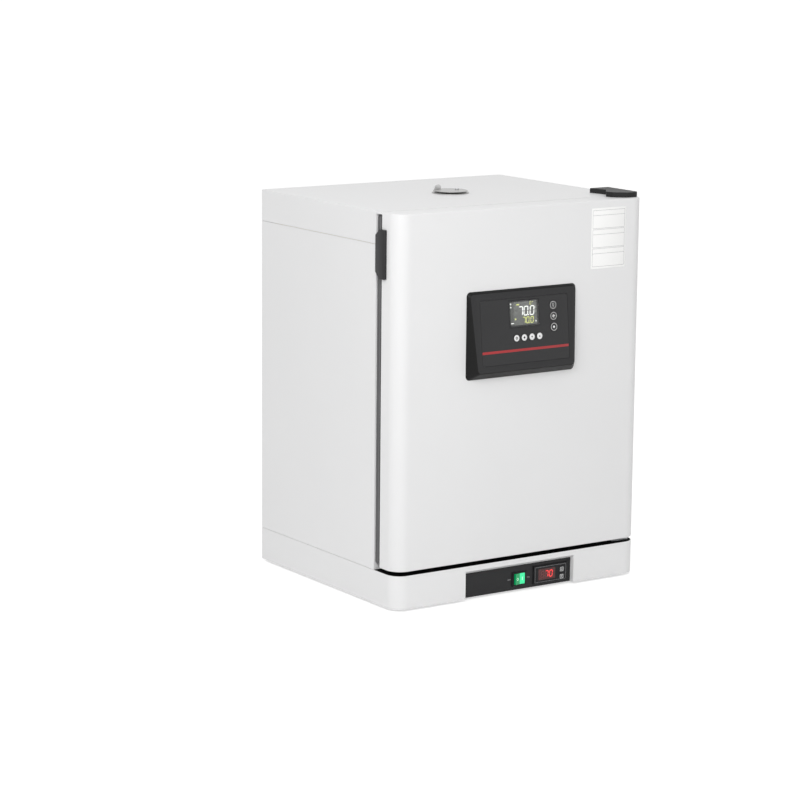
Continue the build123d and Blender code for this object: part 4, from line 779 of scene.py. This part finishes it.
def segment(name, width, height, stroke):
    """Outline of one segment of a digit that stands on its lower left corner."""
    half, s = height / 2, stroke / 2
    start, end = {
        "a": ((0, height), (width, height)), "g": ((0, half), (width, half)), "d": ((0, 0), (width, 0)),
        "f": ((0, half), (0, height)), "b": ((width, half), (width, height)),
        "e": ((0, 0), (0, half)), "c": ((width, 0), (width, half)),
    }[name]
    start, end = Vector(start), Vector(end)
    along = (end - start).normalized()
    across, gap = Vector((-along.y, along.x)), along * stroke * 0.08
    start, end = start + gap, end - gap
    return [
        start, start + along * s - across * s, end - along * s - across * s,
        end, end - along * s + across * s, start + along * s + across * s,
    ]


def number(text, corner, digit, stroke, pitch, where, thick=0.08, lift=0.0):
    """Meshes of lit digits; a point follows a digit as a dot."""
    x, meshes = corner[0], []
    for sign in text:
        if sign == ".":
            at = (x - pitch + digit[0] + stroke * 1.1, corner[1])
            outlines, step = [rounded(at, (stroke, stroke), stroke / 4, 2)], stroke * 0.9
        else:
            strokes = [segment(name, *digit, stroke) for name in SEGMENTS[sign]]
            outlines = [[(x + p.x + LEAN * p.y, corner[1] + p.y) for p in points] for points in strokes]
            step = pitch
        meshes += [ink(outline, where, (), thick, lift) for outline in outlines]
        x += step
    return meshes


# %% Display behind its window
module = on_face(3.0)


def mark(outline, holes=()):
    return ink(outline, module, holes, 0.08, 0.32)


field = plate(rounded(DISPLAY[0], (60.3, 42.3), 0.8, 3), 0.25, 0.03, (), module, -0.3, 1)
white_marks = number("70.0", (-11.5, 98.8), (8.2, 15.6), 2.0, 11.6, module, lift=0.3)
white_marks += [
    mark(circle((-28.3, 120.3), 1.5, 24)),
    mark(rounded((-28.0, 114.6), (2.8, 2.6), 0.4, 2)),
    mark(rounded((-25.6, 85.4), (6.5, 1.6), 0.3, 2)),
    mark([(24.6, 85.6), (27.8, 85.6), (26.2, 88.4)]),
]
yellow_marks = number("70.0", (-3.4, 84.4), (5.6, 10.6), 1.5, 8.2, module, lift=0.3)
yellow_marks += number("0", (13.6, 117.4), (3.0, 5.0), 0.8, 4.4, module, lift=0.3)
yellow_marks += [
    mark(rounded((-12.4, 118.6), (6.4, 2.2), 0.4, 2)),
    mark(rounded((-18.6, 92.6), (3.2, 2.6), 0.5, 2)),
    mark(circle((19.9, 121.8), 0.9, 20)),
]
rings = (((26.2, 112.0), 1.9, 1.2, 24), ((26.2, 104.8), 1.9, 1.2, 24), ((25.2, 116.9), 0.8, 0.45, 20))
grey_marks = [mark(circle(at, out, steps), [circle(at, hole, steps)]) for at, out, hole, steps in rings]
display_parts = [
    (field, display_field), (white_marks, display_white),
    (yellow_marks, display_yellow), (grey_marks, display_grey),
]
piece("display_face", "door", display_parts)

# %% [markdown]
# The seven keys are short plungers that stand a little proud of the overlay, with a slightly crowned top. The
# four in the row carry a white disc with a dark symbol, and the three in the column a white ring round a
# white symbol. The symbols are plain ones: a ring and dot, a diamond, arrows, a bulb, a fan and a dot.


# %% Symbols
def symbol(name, x, y):
    """Outlines with their holes for a key's symbol."""
    if name == "key_set":
        return [(circle((x, y), 2.5), [circle((x, y), 1.6)]), (circle((x, y), 0.8, 24), [])]
    if name == "key_shift":
        return [(turned_points([(-1.7, -1.7), (1.7, -1.7), (1.7, 1.7), (-1.7, 1.7)], 45, (x, y)), [])]
    if name in ("key_up", "key_down"):
        arrow = [(-1.9, -1.3), (1.9, -1.3), (0, 1.7)]
        return [(turned_points(arrow, 0 if name == "key_up" else 180, (x, y)), [])]
    if name == "key_lamp":
        return [
            (circle((x, y + 0.8), 2.3), [circle((x, y + 0.8), 1.7)]),
            (rounded((x, y - 2.4), (2.0, 0.6), 0.2, 2), []),
            (rounded((x, y - 3.4), (1.5, 0.6), 0.2, 2), []),
        ]
    if name == "key_fan":
        blade = [(0.5, -0.75), (3.1, -1.1), (3.4, 0.2), (2.6, 1.0), (0.5, 0.5)]
        return [(turned_points(blade, 90 * i + 12, (x, y)), []) for i in range(4)]
    return [(circle((x, y), 2.3, 32), [])]


# %% Keys
CROWN, SHOULDER, EDGE = 0.78, 0.62, 0.32
key_top = on_face(-0.72)
for name, (x, y, diameter) in KEYS.items():
    radius, in_row = diameter / 2, name in ROW_KEYS
    profile = [
        (0, CROWN), (radius * 0.5, CROWN - 0.05), (radius - EDGE, SHOULDER),
        (radius - 0.3 * EDGE, SHOULDER - 0.3 * EDGE), (radius, SHOULDER - EDGE), (radius, -3.3),
        (radius + 1.2, -3.3), (radius + 1.2, -4.3), (2, -4.3), (2, -7.2), (0, -7.2),
    ]
    cap = turned_piece(profile, on_face() @ Matrix.Translation((x * MM, y * MM, 0)))
    disc_radius, disc_holes = (radius - 0.65, []) if in_row else (radius - 0.9, [circle((x, y), radius - 1.7)])
    disc = ink(circle((x, y), disc_radius), key_top, disc_holes, edge=0.015)
    marks = [ink(outline, key_top, holes, lift=INK * in_row) for outline, holes in symbol(name, x, y)]
    key_parts = [(cap, key_plastic), (disc, white_print), (marks, key_plastic if in_row else white_print)]
    piece(name + "_cap", name, key_parts, [name])

# %% [markdown]
# The label on the door is a plain adhesive film with three empty fields. The pull handle is one moulding that
# wraps the door's left edge: a plate on the side, and a hollow wing behind it that the fingers curl round.

# %% Label
label_low = extent("label_plate")[0]
label_centre, label_size = face_of("label_plate")
on_label = front(label_low.y)
FIELDS, MARGIN, SPACE, LINE = 3, 3, 1.6, 0.05
pitch = (label_size[1] - 2 * MARGIN) / FIELDS
size = (label_size[0] - 5, pitch - SPACE)
lines = []
for i in range(FIELDS):
    x, z = label_centre[0], label_low.z + MARGIN + (i + 0.5) * pitch
    hole = rounded((x, z), [s - 1.0 for s in size], 0.4, 3)
    rule = rounded((x, z + size[1] / 2 - 9.5), (size[0] - 0.8, 0.5), 0.1, 2)
    lines += [ink(rounded((x, z), size, 0.8, 3), on_label, [hole], LINE), ink(rule, on_label, (), LINE)]
sheet = plate(rounded(label_centre, label_size, 1.5, 4), 0.3, 0.05, (), on_label, 0, 1)
piece("door_label", "door", [(sheet, label_film), (lines, line_print)], ["label_plate"])

# %% Pull handle
grip_low, grip_high = extent("door_handle")
wing, GRIP_X, WALL, NOSE, TAPER = grip_high.y, -276, 2.5, 4, 11
section = [
    (GRIP_X, DOOR_REAR - 15), (GRIP_X, DOOR_REAR), (grip_low.x + WALL, DOOR_REAR), (GRIP_X, wing),
    (GRIP_X - WALL, wing), (grip_low.x, DOOR_REAR),
]
section += [
    (grip_low.x + NOSE * (1 - cos(a)), DOOR_REAR - 11 - NOSE * sin(a)) for a in sweep(6)
]
handle = plate(section[::-1], grip_high.z - grip_low.z, 0.55, (), level_at(grip_high.z), 0, 3)
middle = (grip_high.z + grip_low.z) / 2 * MM
for vertex in handle.vertices:
    reach = max(0.0, vertex.co.y - DOOR_REAR * MM) / ((wing - DOOR_REAR) * MM)
    vertex.co.z += TAPER * MM * min(reach, 1.0) * (1 if vertex.co.z < middle else -1)
piece("pull_handle", "door", [(handle, handle_plastic)], ["door_handle"], sharp=40)

# %% [markdown]
# The roof vent lets moist air out. A flange is pressed on the roof, and a spun steel disc turns on an
# off-centre screw to open or close it. The disc has a rolled rim and a tab that is bent up for the finger.

# %% Roof vent: flange and stud
ROOF, STUD = 720.0, (19.0, 20.8)
flange_profile = [
    (15.5, -110), (17, -110), (17, -0.2), (34.2, 0), (35, 0.3), (35, 0.9), (34.2, 1.45), (33, 1.5),
    (18.6, 1.5), (17.6, 1.8), (17.2, 3.3), (16.2, 3.5), (15.5, 3.2),
]
stud_profile = [(0, 1.4), (4.1, 1.4), (4.1, 3.5), (2.5, 3.5), (2.5, 5.3), (0, 5.3)]
flange = turned_piece(flange_profile, level_at(ROOF, *VENT), 96)
stud = turned_piece(stud_profile, level_at(ROOF, *STUD), 32)
slot_cut = rounded((0, 0), (6.4, 1.0), 0.2, 2)
head = plate(circle((0, 0), 4.1, 40), 1.55, 0.5, [slot_cut], level_at(ROOF + 6.85, *STUD), 0, 3)
head_floor = plate(circle((0, 0), 3.9, 40), 0.7, 0.1, (), level_at(ROOF + 5.99, *STUD))
flange_parts = [(flange, stainless_turned), ([stud, head, head_floor], zinc_plate)]
piece("vent_flange", "cabinet", flange_parts, ["vent_tube"])

# %% Roof vent: disc and tab
disc_low, disc_high = extent("vent_disc")
DISC, TAB, TAB_BEND = 32.5, 10.4, 1.2
lid_profile = [
    (0, 1.05), (20, 1.0), (29.5, 0.85), (31, 1.15), (32, 1.2), (DISC, 0.85), (DISC, 0.3), (32, 0),
    (31, 0.05), (29.5, 0.0), (0, 0.05),
]
lid = turned_piece(lid_profile, level_at(disc_low.z, *VENT), 128)
TAB_ANGLE = radians(108)
outwards = Vector((cos(TAB_ANGLE), sin(TAB_ANGLE), 0))
sideways = Vector((-sin(TAB_ANGLE), cos(TAB_ANGLE), 0))
tab_foot = Vector((*VENT, disc_low.z + 1.0)) + outwards * 31
rise = disc_high.z - tab_foot.z - TAB_BEND
tab_half = [(TAB, 0)] + [(TAB * max(cos(a), 0) ** 0.75, TAB_BEND + rise * sin(a)) for a in sweep(18)]
tab_outline = [(-TAB, 0), *tab_half, *((-x, y) for x, y in tab_half[-2:0:-1])]
tab = plate(tab_outline, 1.1, 0.3, (), lies_on(tab_foot, sideways, (0, 0, 1)))
piece("vent_lid", "vent_flap", [(lid, stainless_turned), (tab, stainless_level)], ["vent_disc"])

# %% [markdown]
# The base carries the mains switch and the limit thermostat on a dark plate in its notch. The rocker is a
# lit green moulding with two shallow slopes. The thermostat has a red window and two small square buttons.

# %% Rocker
pivot = Vector((6.75, -211.7, 25.3))
TILT = radians(8)
along_rocker = Vector((cos(TILT), sin(TILT), 0))
into = Vector((-sin(TILT), cos(TILT), 0))
HALF, TALL, CREST, FALL, BOW = 11.2, 20.5, -3.45, 1.75, 1.25


def rocker_depth(x):
    return CREST - FALL * (abs(x) / HALF) ** BOW


crest = [(x, rocker_depth(x)) for x in (-HALF + HALF * i / 10 for i in range(21))]
rocker_plane = lies_on(pivot + Vector((0, 0, TALL / 2)), along_rocker, into)
far_half, near_half = (
    plate([(half[0][0], 1.5)] + half + [(half[-1][0], 1.5)], TALL, 0.45, (), rocker_plane, 0, 3)
    for half in (crest[:11], crest[10:])
)
axle_profile = [(0, -11.75), (1.5, -11.75), (1.5, 11.75), (0, 11.75)]
axle = turned_piece(axle_profile, level_at(pivot.z, pivot.x, pivot.y), 24)
marks = []
for offset, outline, holes in (
    (5.9, rounded((0, 0), (1.3, 6.2), 0.3, 2), ()),
    (-5.9, circle((0, 0), 2.5, 32), [circle((0, 0), 1.7, 32)]),
):
    slope = -FALL * BOW * (abs(offset) / HALF) ** (BOW - 1) / HALF * copysign(1, offset)
    origin = pivot + along_rocker * offset + into * (rocker_depth(offset) - 0.02)
    lay = lies_on(origin, along_rocker + into * slope, (0, 0, 1))
    marks.append(ink(outline, lay, holes, 0.08, -0.03))
# The far half carries painted shade and the near half painted light; the axle takes the far half's finish.
rocker_parts = [
    (far_half, rocker_far_painted_shade), (near_half, rocker_near_painted_light), (axle, rocker_far_painted_shade), (marks, rocker_mark)
]
piece("rocker_button", "rocker", rocker_parts, ["rocker"])

# %% Words by the switch
PLATE_FRONT, CAPITALS = extent("control_plate")[0].y, 2.7


def words(text, size, where):
    """Thin printed word, centred; size is the height of its capitals."""
    writing = bpy.data.curves.new("writing", "FONT")
    writing.body = text
    writing.size = size / 0.7 * MM
    writing.align_x, writing.align_y = "CENTER", "CENTER"
    writing.extrude = INK / 2 * MM
    mesh = as_mesh(bpy.data.objects.new("writing", writing))
    mesh.transform(Matrix.Translation((0, 0, INK / 2 * MM)))
    mesh.transform(where)
    return welded(mesh, 0.0005)


switch_words = [
    words(text, CAPITALS, front(PLATE_FRONT, x, pivot.z)) for text, x in (("OFF", -15.6), ("ON", 28.2))
]
piece("switch_words", "cabinet", [(switch_words, grey_print)])

# %% Thermostat face
frame_middle = face_of("thermostat_body")[0]
glass_low = extent("thermostat_window")[0]
face = front(extent("thermostat_body")[0].y)
frame_hole = rounded(frame_middle, (70.7, 28.2), 0.9, 4)
thin_frame = ink(rounded(frame_middle, (71.5, 29.0), 1.2, 4), face, [frame_hole])
glass_face, digits_at = front(glass_low.y), (glass_low.x + 5.5, glass_low.z + 4.6)
DIGIT, DIGIT_PITCH, FILM = (6.4, 11.6), 9.8, 0.03
ghosts = number("888", digits_at, DIGIT, 1.35, DIGIT_PITCH, glass_face, FILM)
shown = number(" 70", digits_at, DIGIT, 1.75, DIGIT_PITCH, glass_face, FILM, 0.035)
thermostat_parts = [(thin_frame, grey_print), (ghosts, digit_off), (shown, digit_red)]
piece("thermostat_marks", "cabinet", thermostat_parts)

# %% Thermostat buttons
for name, degrees in (("button_up", 0), ("button_down", 180)):
    low, high = extent(name)
    at, face = face_of(name)[0], front(low.y)
    cap = plate(rounded(at, (9.6, 9.6), 1.4, 5), high.y - low.y, 0.6, (), face, 0, 3)
    box = ink(rounded(at, (7.6, 7.6), 1.2, 4), face, [rounded(at, (6.0, 6.0), 0.7, 4)])
    arrow = ink(turned_points([(-1.7, -1.2), (1.7, -1.2), (0, 1.6)], degrees, at), face)
    piece(name + "_cap", name, [(cap, button_plastic), ([box, arrow], white_print)], [name])

# %% [markdown]
# Small things make an instrument believable: cross-recessed screws, louvres over the motor's air slots, and
# feet with a turned edge. The screws and louvres repeat, so the grid sets them out.


# %% Screws
def cross(arm, width):
    a, w = arm / 2, width / 2
    quarter = [(w, w), (w, a), (-w, a)]
    return [p for degrees in (0, 90, 180, 270) for p in turned_points(quarter, degrees, (0, 0))]


def pan_head(where):
    """Screw head with a cross recess, and its shank behind it."""
    top = plate(circle((0, 0), 3.75, 40), 2.15, 0.9, [cross(4.2, 1.0)], where, -2.2, 4)
    floor = plate(circle((0, 0), 3.4, 40), 0.9, 0.1, (), where, -0.95)
    shank = turned_piece([(0, 0.1), (2, 0.1), (2, -4.5), (1.2, -6), (0, -6)], where, 20)
    return joined([top, floor, shank])


back_low, back_high = extent("back_panel")
BACK, SCREW_X, SCREW_INSET, ON_BRACKET = back_high.y, 263.5, 25, (260, -125, ROOF + 4)
lowest = back_low.z + SCREW_INSET
step = (back_high.z - back_low.z - 2 * SCREW_INSET) / 3
rear = lies_on((0, 0, 0), (-1, 0, 0), (0, 0, 1))
back_screws = copies_of(
    pan_head(rear), zinc_plate, (-SCREW_X, BACK, lowest), 2, (2 * SCREW_X, 0, 0), 4, (0, 0, step)
)
bracket_screws = copies_of(pan_head(level_at(0)), zinc_plate, ON_BRACKET, 2, (0, -16, 0))
screw_parts = [([back_screws, bracket_screws], zinc_plate)]
piece("case_screw_heads", "cabinet", screw_parts, ["case_screws"])

# %% Louvres over the air slots
FAN_Z, LOUVRE_OFFSET, LOUVRES, LOUVRE_PITCH, BACK_SET = 370.0, 75, 5, 10, 1.6
hood_curve = [(4.0 * cos(a) - BACK_SET, 2.1 * sin(a)) for a in sweep(8)]
right_end = ((57.5, 1.0), (60, 0.86), (61.6, 0.55), (62.5, 0.0))
rows = [
    [(x, max(d * squeeze, 0.02), -BACK_SET + (z + BACK_SET) * max(squeeze, 0.2)) for z, d in hood_curve]
    for x, squeeze in (*((-x, squeeze) for x, squeeze in reversed(right_end)), *right_end)
]
hood = welded(thickened(skinned(rows, around=False, over=False), 0.3), 0.0005)
louvres = [
    copies_of(hood, white_paint, (0, BACK, FAN_Z + offset - 20), 1, (0, 0, 0), LOUVRES, (0, 0, LOUVRE_PITCH))
    for offset in (-LOUVRE_OFFSET, LOUVRE_OFFSET)
]
piece("louvre_hoods", "cabinet", [(louvres, white_paint)])

# %% Feet
foot_profile = [
    (0, 0), (13.2, 0), (14.2, 0.4), (15.6, 2.2), (16, 3.4), (16, 4.6), (15.6, 5), (5, 5), (5, 9.2), (0, 9.2)
]
FOOT_X, FOOT_Y = 248, (-157, 189)
feet = [turned_piece(foot_profile, level_at(0, x, y)) for y in FOOT_Y for x in (-FOOT_X, FOOT_X)]
piece("rubber_feet", "cabinet", [(feet, foot_rubber)], ["feet"])

# %% [markdown]
# Behind the door is a second, glass door, so that the cultures can be seen without losing the heat. Behind
# that are two shelves of polished wire. The wires are tubes: the frames are bevelled curves, and the cross
# wires are one rod that the grid repeats.

# %% Glass door
pane_low, pane_high = extent("glass_door")
pane_centre, pane_size = face_of("glass_door")
PANE_FRONT, CLAMP, CLAMP_X, CLAMP_Z, SCREW_PITCH = pane_low.y, 3.0, 208, 70, 18
GLASS_AXIS, KNOB_X = (226, -163.5), -196
pane = plate(rounded(pane_centre, pane_size, 6), pane_high.y - PANE_FRONT, 0.9, (), front(PANE_FRONT), 0, 3)
piece("glass_pane", "glass_inner_door", [(pane, door_glass)], ["glass_door"])
knuckle_profile = [(2.05, -15), (4.0, -15), (4.5, -14.5), (4.5, 14.5), (4.0, 15), (2.05, 15)]
fittings = []
for z in (pane_low.z + CLAMP_Z, pane_high.z - CLAMP_Z):
    fittings.append(plate(rounded((CLAMP_X, z), (36, 30), 2.0, 5), CLAMP, 0.6, (), front(PANE_FRONT - CLAMP)))
    fittings.append(turned_piece(knuckle_profile, level_at(z, *GLASS_AXIS), 40))
flat_head = plate(circle((0, 0), 3.0, 32), 0.9, 0.35, [cross(3.2, 0.8)], front(0), -0.9, 2)
start = (CLAMP_X - 6, PANE_FRONT - CLAMP, pane_low.z + CLAMP_Z - SCREW_PITCH / 2)
fitting_screws = copies_of(flat_head, zinc_plate, start, 1, (0, 0, 0), 2, (0, 0, SCREW_PITCH))
more_screws = fitting_screws.copy()
more_screws.transform(Matrix.Translation((0, 0, (pane_size[1] - 2 * CLAMP_Z) * MM)))
knob_profile = [(0, 5.95), (7.6, 5.95), (9.4, 5.5), (10, 4.6), (10, 3.0), (8.4, 1.6), (7.6, 0.0), (0, 0)]
knob = turned_piece(knob_profile, front(PANE_FRONT, KNOB_X, pane_centre[1]))
fitting_parts = [
    (fittings, stainless_level), ([fitting_screws, more_screws], zinc_plate), (knob, black_plastic)
]
piece("glass_fitting_set", "glass_inner_door", fitting_parts, ["glass_fittings"])


# %% Wire shelves
def wire(points, radius, closed=False):
    """Round wire along points."""
    line = bpy.data.curves.new("wire", "CURVE")
    line.dimensions, line.use_fill_caps = "3D", True
    line.bevel_depth, line.bevel_resolution = radius * MM, 3
    spline = line.splines.new("POLY")
    spline.points.add(len(points) - 1)
    for point, place in zip(spline.points, points):
        point.co = (*(Vector(place) * MM), 1)
    spline.use_cyclic_u = closed
    return welded(as_mesh(bpy.data.objects.new("wire", line)))


FRAME_WIRE, STAY_WIRE, CROSS_WIRE, CROSS_WIRES, PITCH = 2.5, 2.4, 1.5, 14, 25
wires_low, wires_high = extent("wire_shelves")
rails = wires_high.x - FRAME_WIRE
ends = (wires_low.y + FRAME_WIRE, wires_high.y - FRAME_WIRE)
shelf_z = (wires_low.z + FRAME_WIRE, wires_high.z - FRAME_WIRE)
middle = sum(ends) / 2
loop = rounded((0, middle), (2 * rails, ends[1] - ends[0]), 7, 6)
frames = [wire([(x, y, z) for x, y in loop], FRAME_WIRE, True) for z in shelf_z]
frames += [wire([(-rails, middle, z), (rails, middle, z)], STAY_WIRE) for z in shelf_z]
cross_wire = wire([(0, ends[0], 0), (0, ends[1], 0)], CROSS_WIRE)
start, lift = (-(CROSS_WIRES - 1) / 2 * PITCH, 0, shelf_z[0]), (0, 0, shelf_z[1] - shelf_z[0])
crossings = copies_of(cross_wire, bright_wire, start, CROSS_WIRES, (PITCH, 0, 0), 2, lift)
piece("shelf_wires", "cabinet", [([*frames, crossings], bright_wire)], ["wire_shelves"])

# %% Chamber lamp
lamp_low, lamp_high = extent("chamber_lamp")
ceiling = level_at(lamp_high.z, (lamp_low.x + lamp_high.x) / 2, (lamp_low.y + lamp_high.y) / 2)
ring = turned_piece([(16.2, 0), (20, 0), (20, -3.4), (19.2, -4.4), (17.4, -4.8), (16.2, -4.0)], ceiling)
dome = turned_piece([(0, -9), (7, -8.8), (12.5, -7.6), (15.6, -5.6), (16.6, -3.8), (16.6, 0), (0, 0)], ceiling)
piece("lamp_dome", "cabinet", [(ring, stainless_upright), (dome, opal)], ["chamber_lamp"])

# %% [markdown]
# The scene is plain: a pale floor, a bright even sky and three large soft lamps. The sky lights the object
# less brightly than it looks to the camera, in a mirror or through glass, so that white paint stays just below
# white. The floor glows a little for those same rays. Light Path tells the shaders which kind of ray asks.

# %% Floor
EDGE_OF_FLOOR, FLOOR_GLOW, SKY_LIGHT = 40, 0.52, 0.62
DIRECT_RAYS = ("Is Camera Ray", "Is Glossy Ray", "Is Transmission Ray")
floor = bpy.data.objects.new("floor", bpy.data.meshes.new("floor"))
corners = [(EDGE_OF_FLOOR * x, EDGE_OF_FLOOR * y, 0) for x, y in ((-1, -1), (1, -1), (1, 1), (-1, 1))]
floor.data.from_pydata(corners, [], [(0, 1, 2, 3)])
scene.collection.objects.link(floor)
paper = Finish("pale floor", roughness=0.9)
paper.feed(base_color=paper.mix(paper.noise(3, 2), (0.79, 0.79, 0.79), (0.81, 0.81, 0.81)))
seen, mirrored, through = (paper.node("LightPath", output=ray) for ray in DIRECT_RAYS)
given = {"Color": (1.0, 1.0, 1.0), "Strength": FLOOR_GLOW * (seen + mirrored + through)}
glow = paper.node("Emission", None, given)
both = paper.node("AddShader", None, {0: Signal(paper, paper.shader.outputs[0]), 1: glow})
paper.tree.links.new(both.socket, paper.tree.nodes["Material Output"].inputs["Surface"])
floor.data.materials.append(paper.material)

# %% Sky
world = bpy.data.worlds.new("sky")
scene.world = world
world.use_nodes = True
sky = world.node_tree
path, strength = sky.nodes.new("ShaderNodeLightPath"), sky.nodes.new("ShaderNodeMapRange")
total = path.outputs[DIRECT_RAYS[0]]
for ray in DIRECT_RAYS[1:]:
    add = sky.nodes.new("ShaderNodeMath")
    sky.links.new(total, add.inputs[0])
    sky.links.new(path.outputs[ray], add.inputs[1])
    total = add.outputs[0]
strength.inputs["To Min"].default_value = SKY_LIGHT
strength.inputs["To Max"].default_value = 1.0
sky.links.new(total, strength.inputs["Value"])
sky.nodes["Background"].inputs["Color"].default_value = (1, 1, 1, 1)
sky.links.new(strength.outputs[0], sky.nodes["Background"].inputs["Strength"])


# %% Lamps
def soft_lamp(name, place, aim, size, power):
    light = bpy.data.lights.new(name, "AREA")
    light.shape, light.energy = "RECTANGLE", power
    light.size, light.size_y = size
    holder = bpy.data.objects.new(name, light)
    holder.location = place
    holder.rotation_euler = (Vector(place) - Vector(aim)).to_track_quat("Z", "Y").to_euler()
    scene.collection.objects.link(holder)


soft_lamp("key lamp", (-2.2, -3.6, 2.9), (0, 0, 0.5), (2.4, 1.6), 54)
soft_lamp("side lamp", (-1.9, -1.5, 1.7), (0, 0, 0.6), (1.0, 0.8), 16)
soft_lamp("top lamp", (0.4, 0.3, 3.2), (0, 0, 0.5), (2.5, 2.5), 6)
scene.view_settings.view_transform = "Standard"
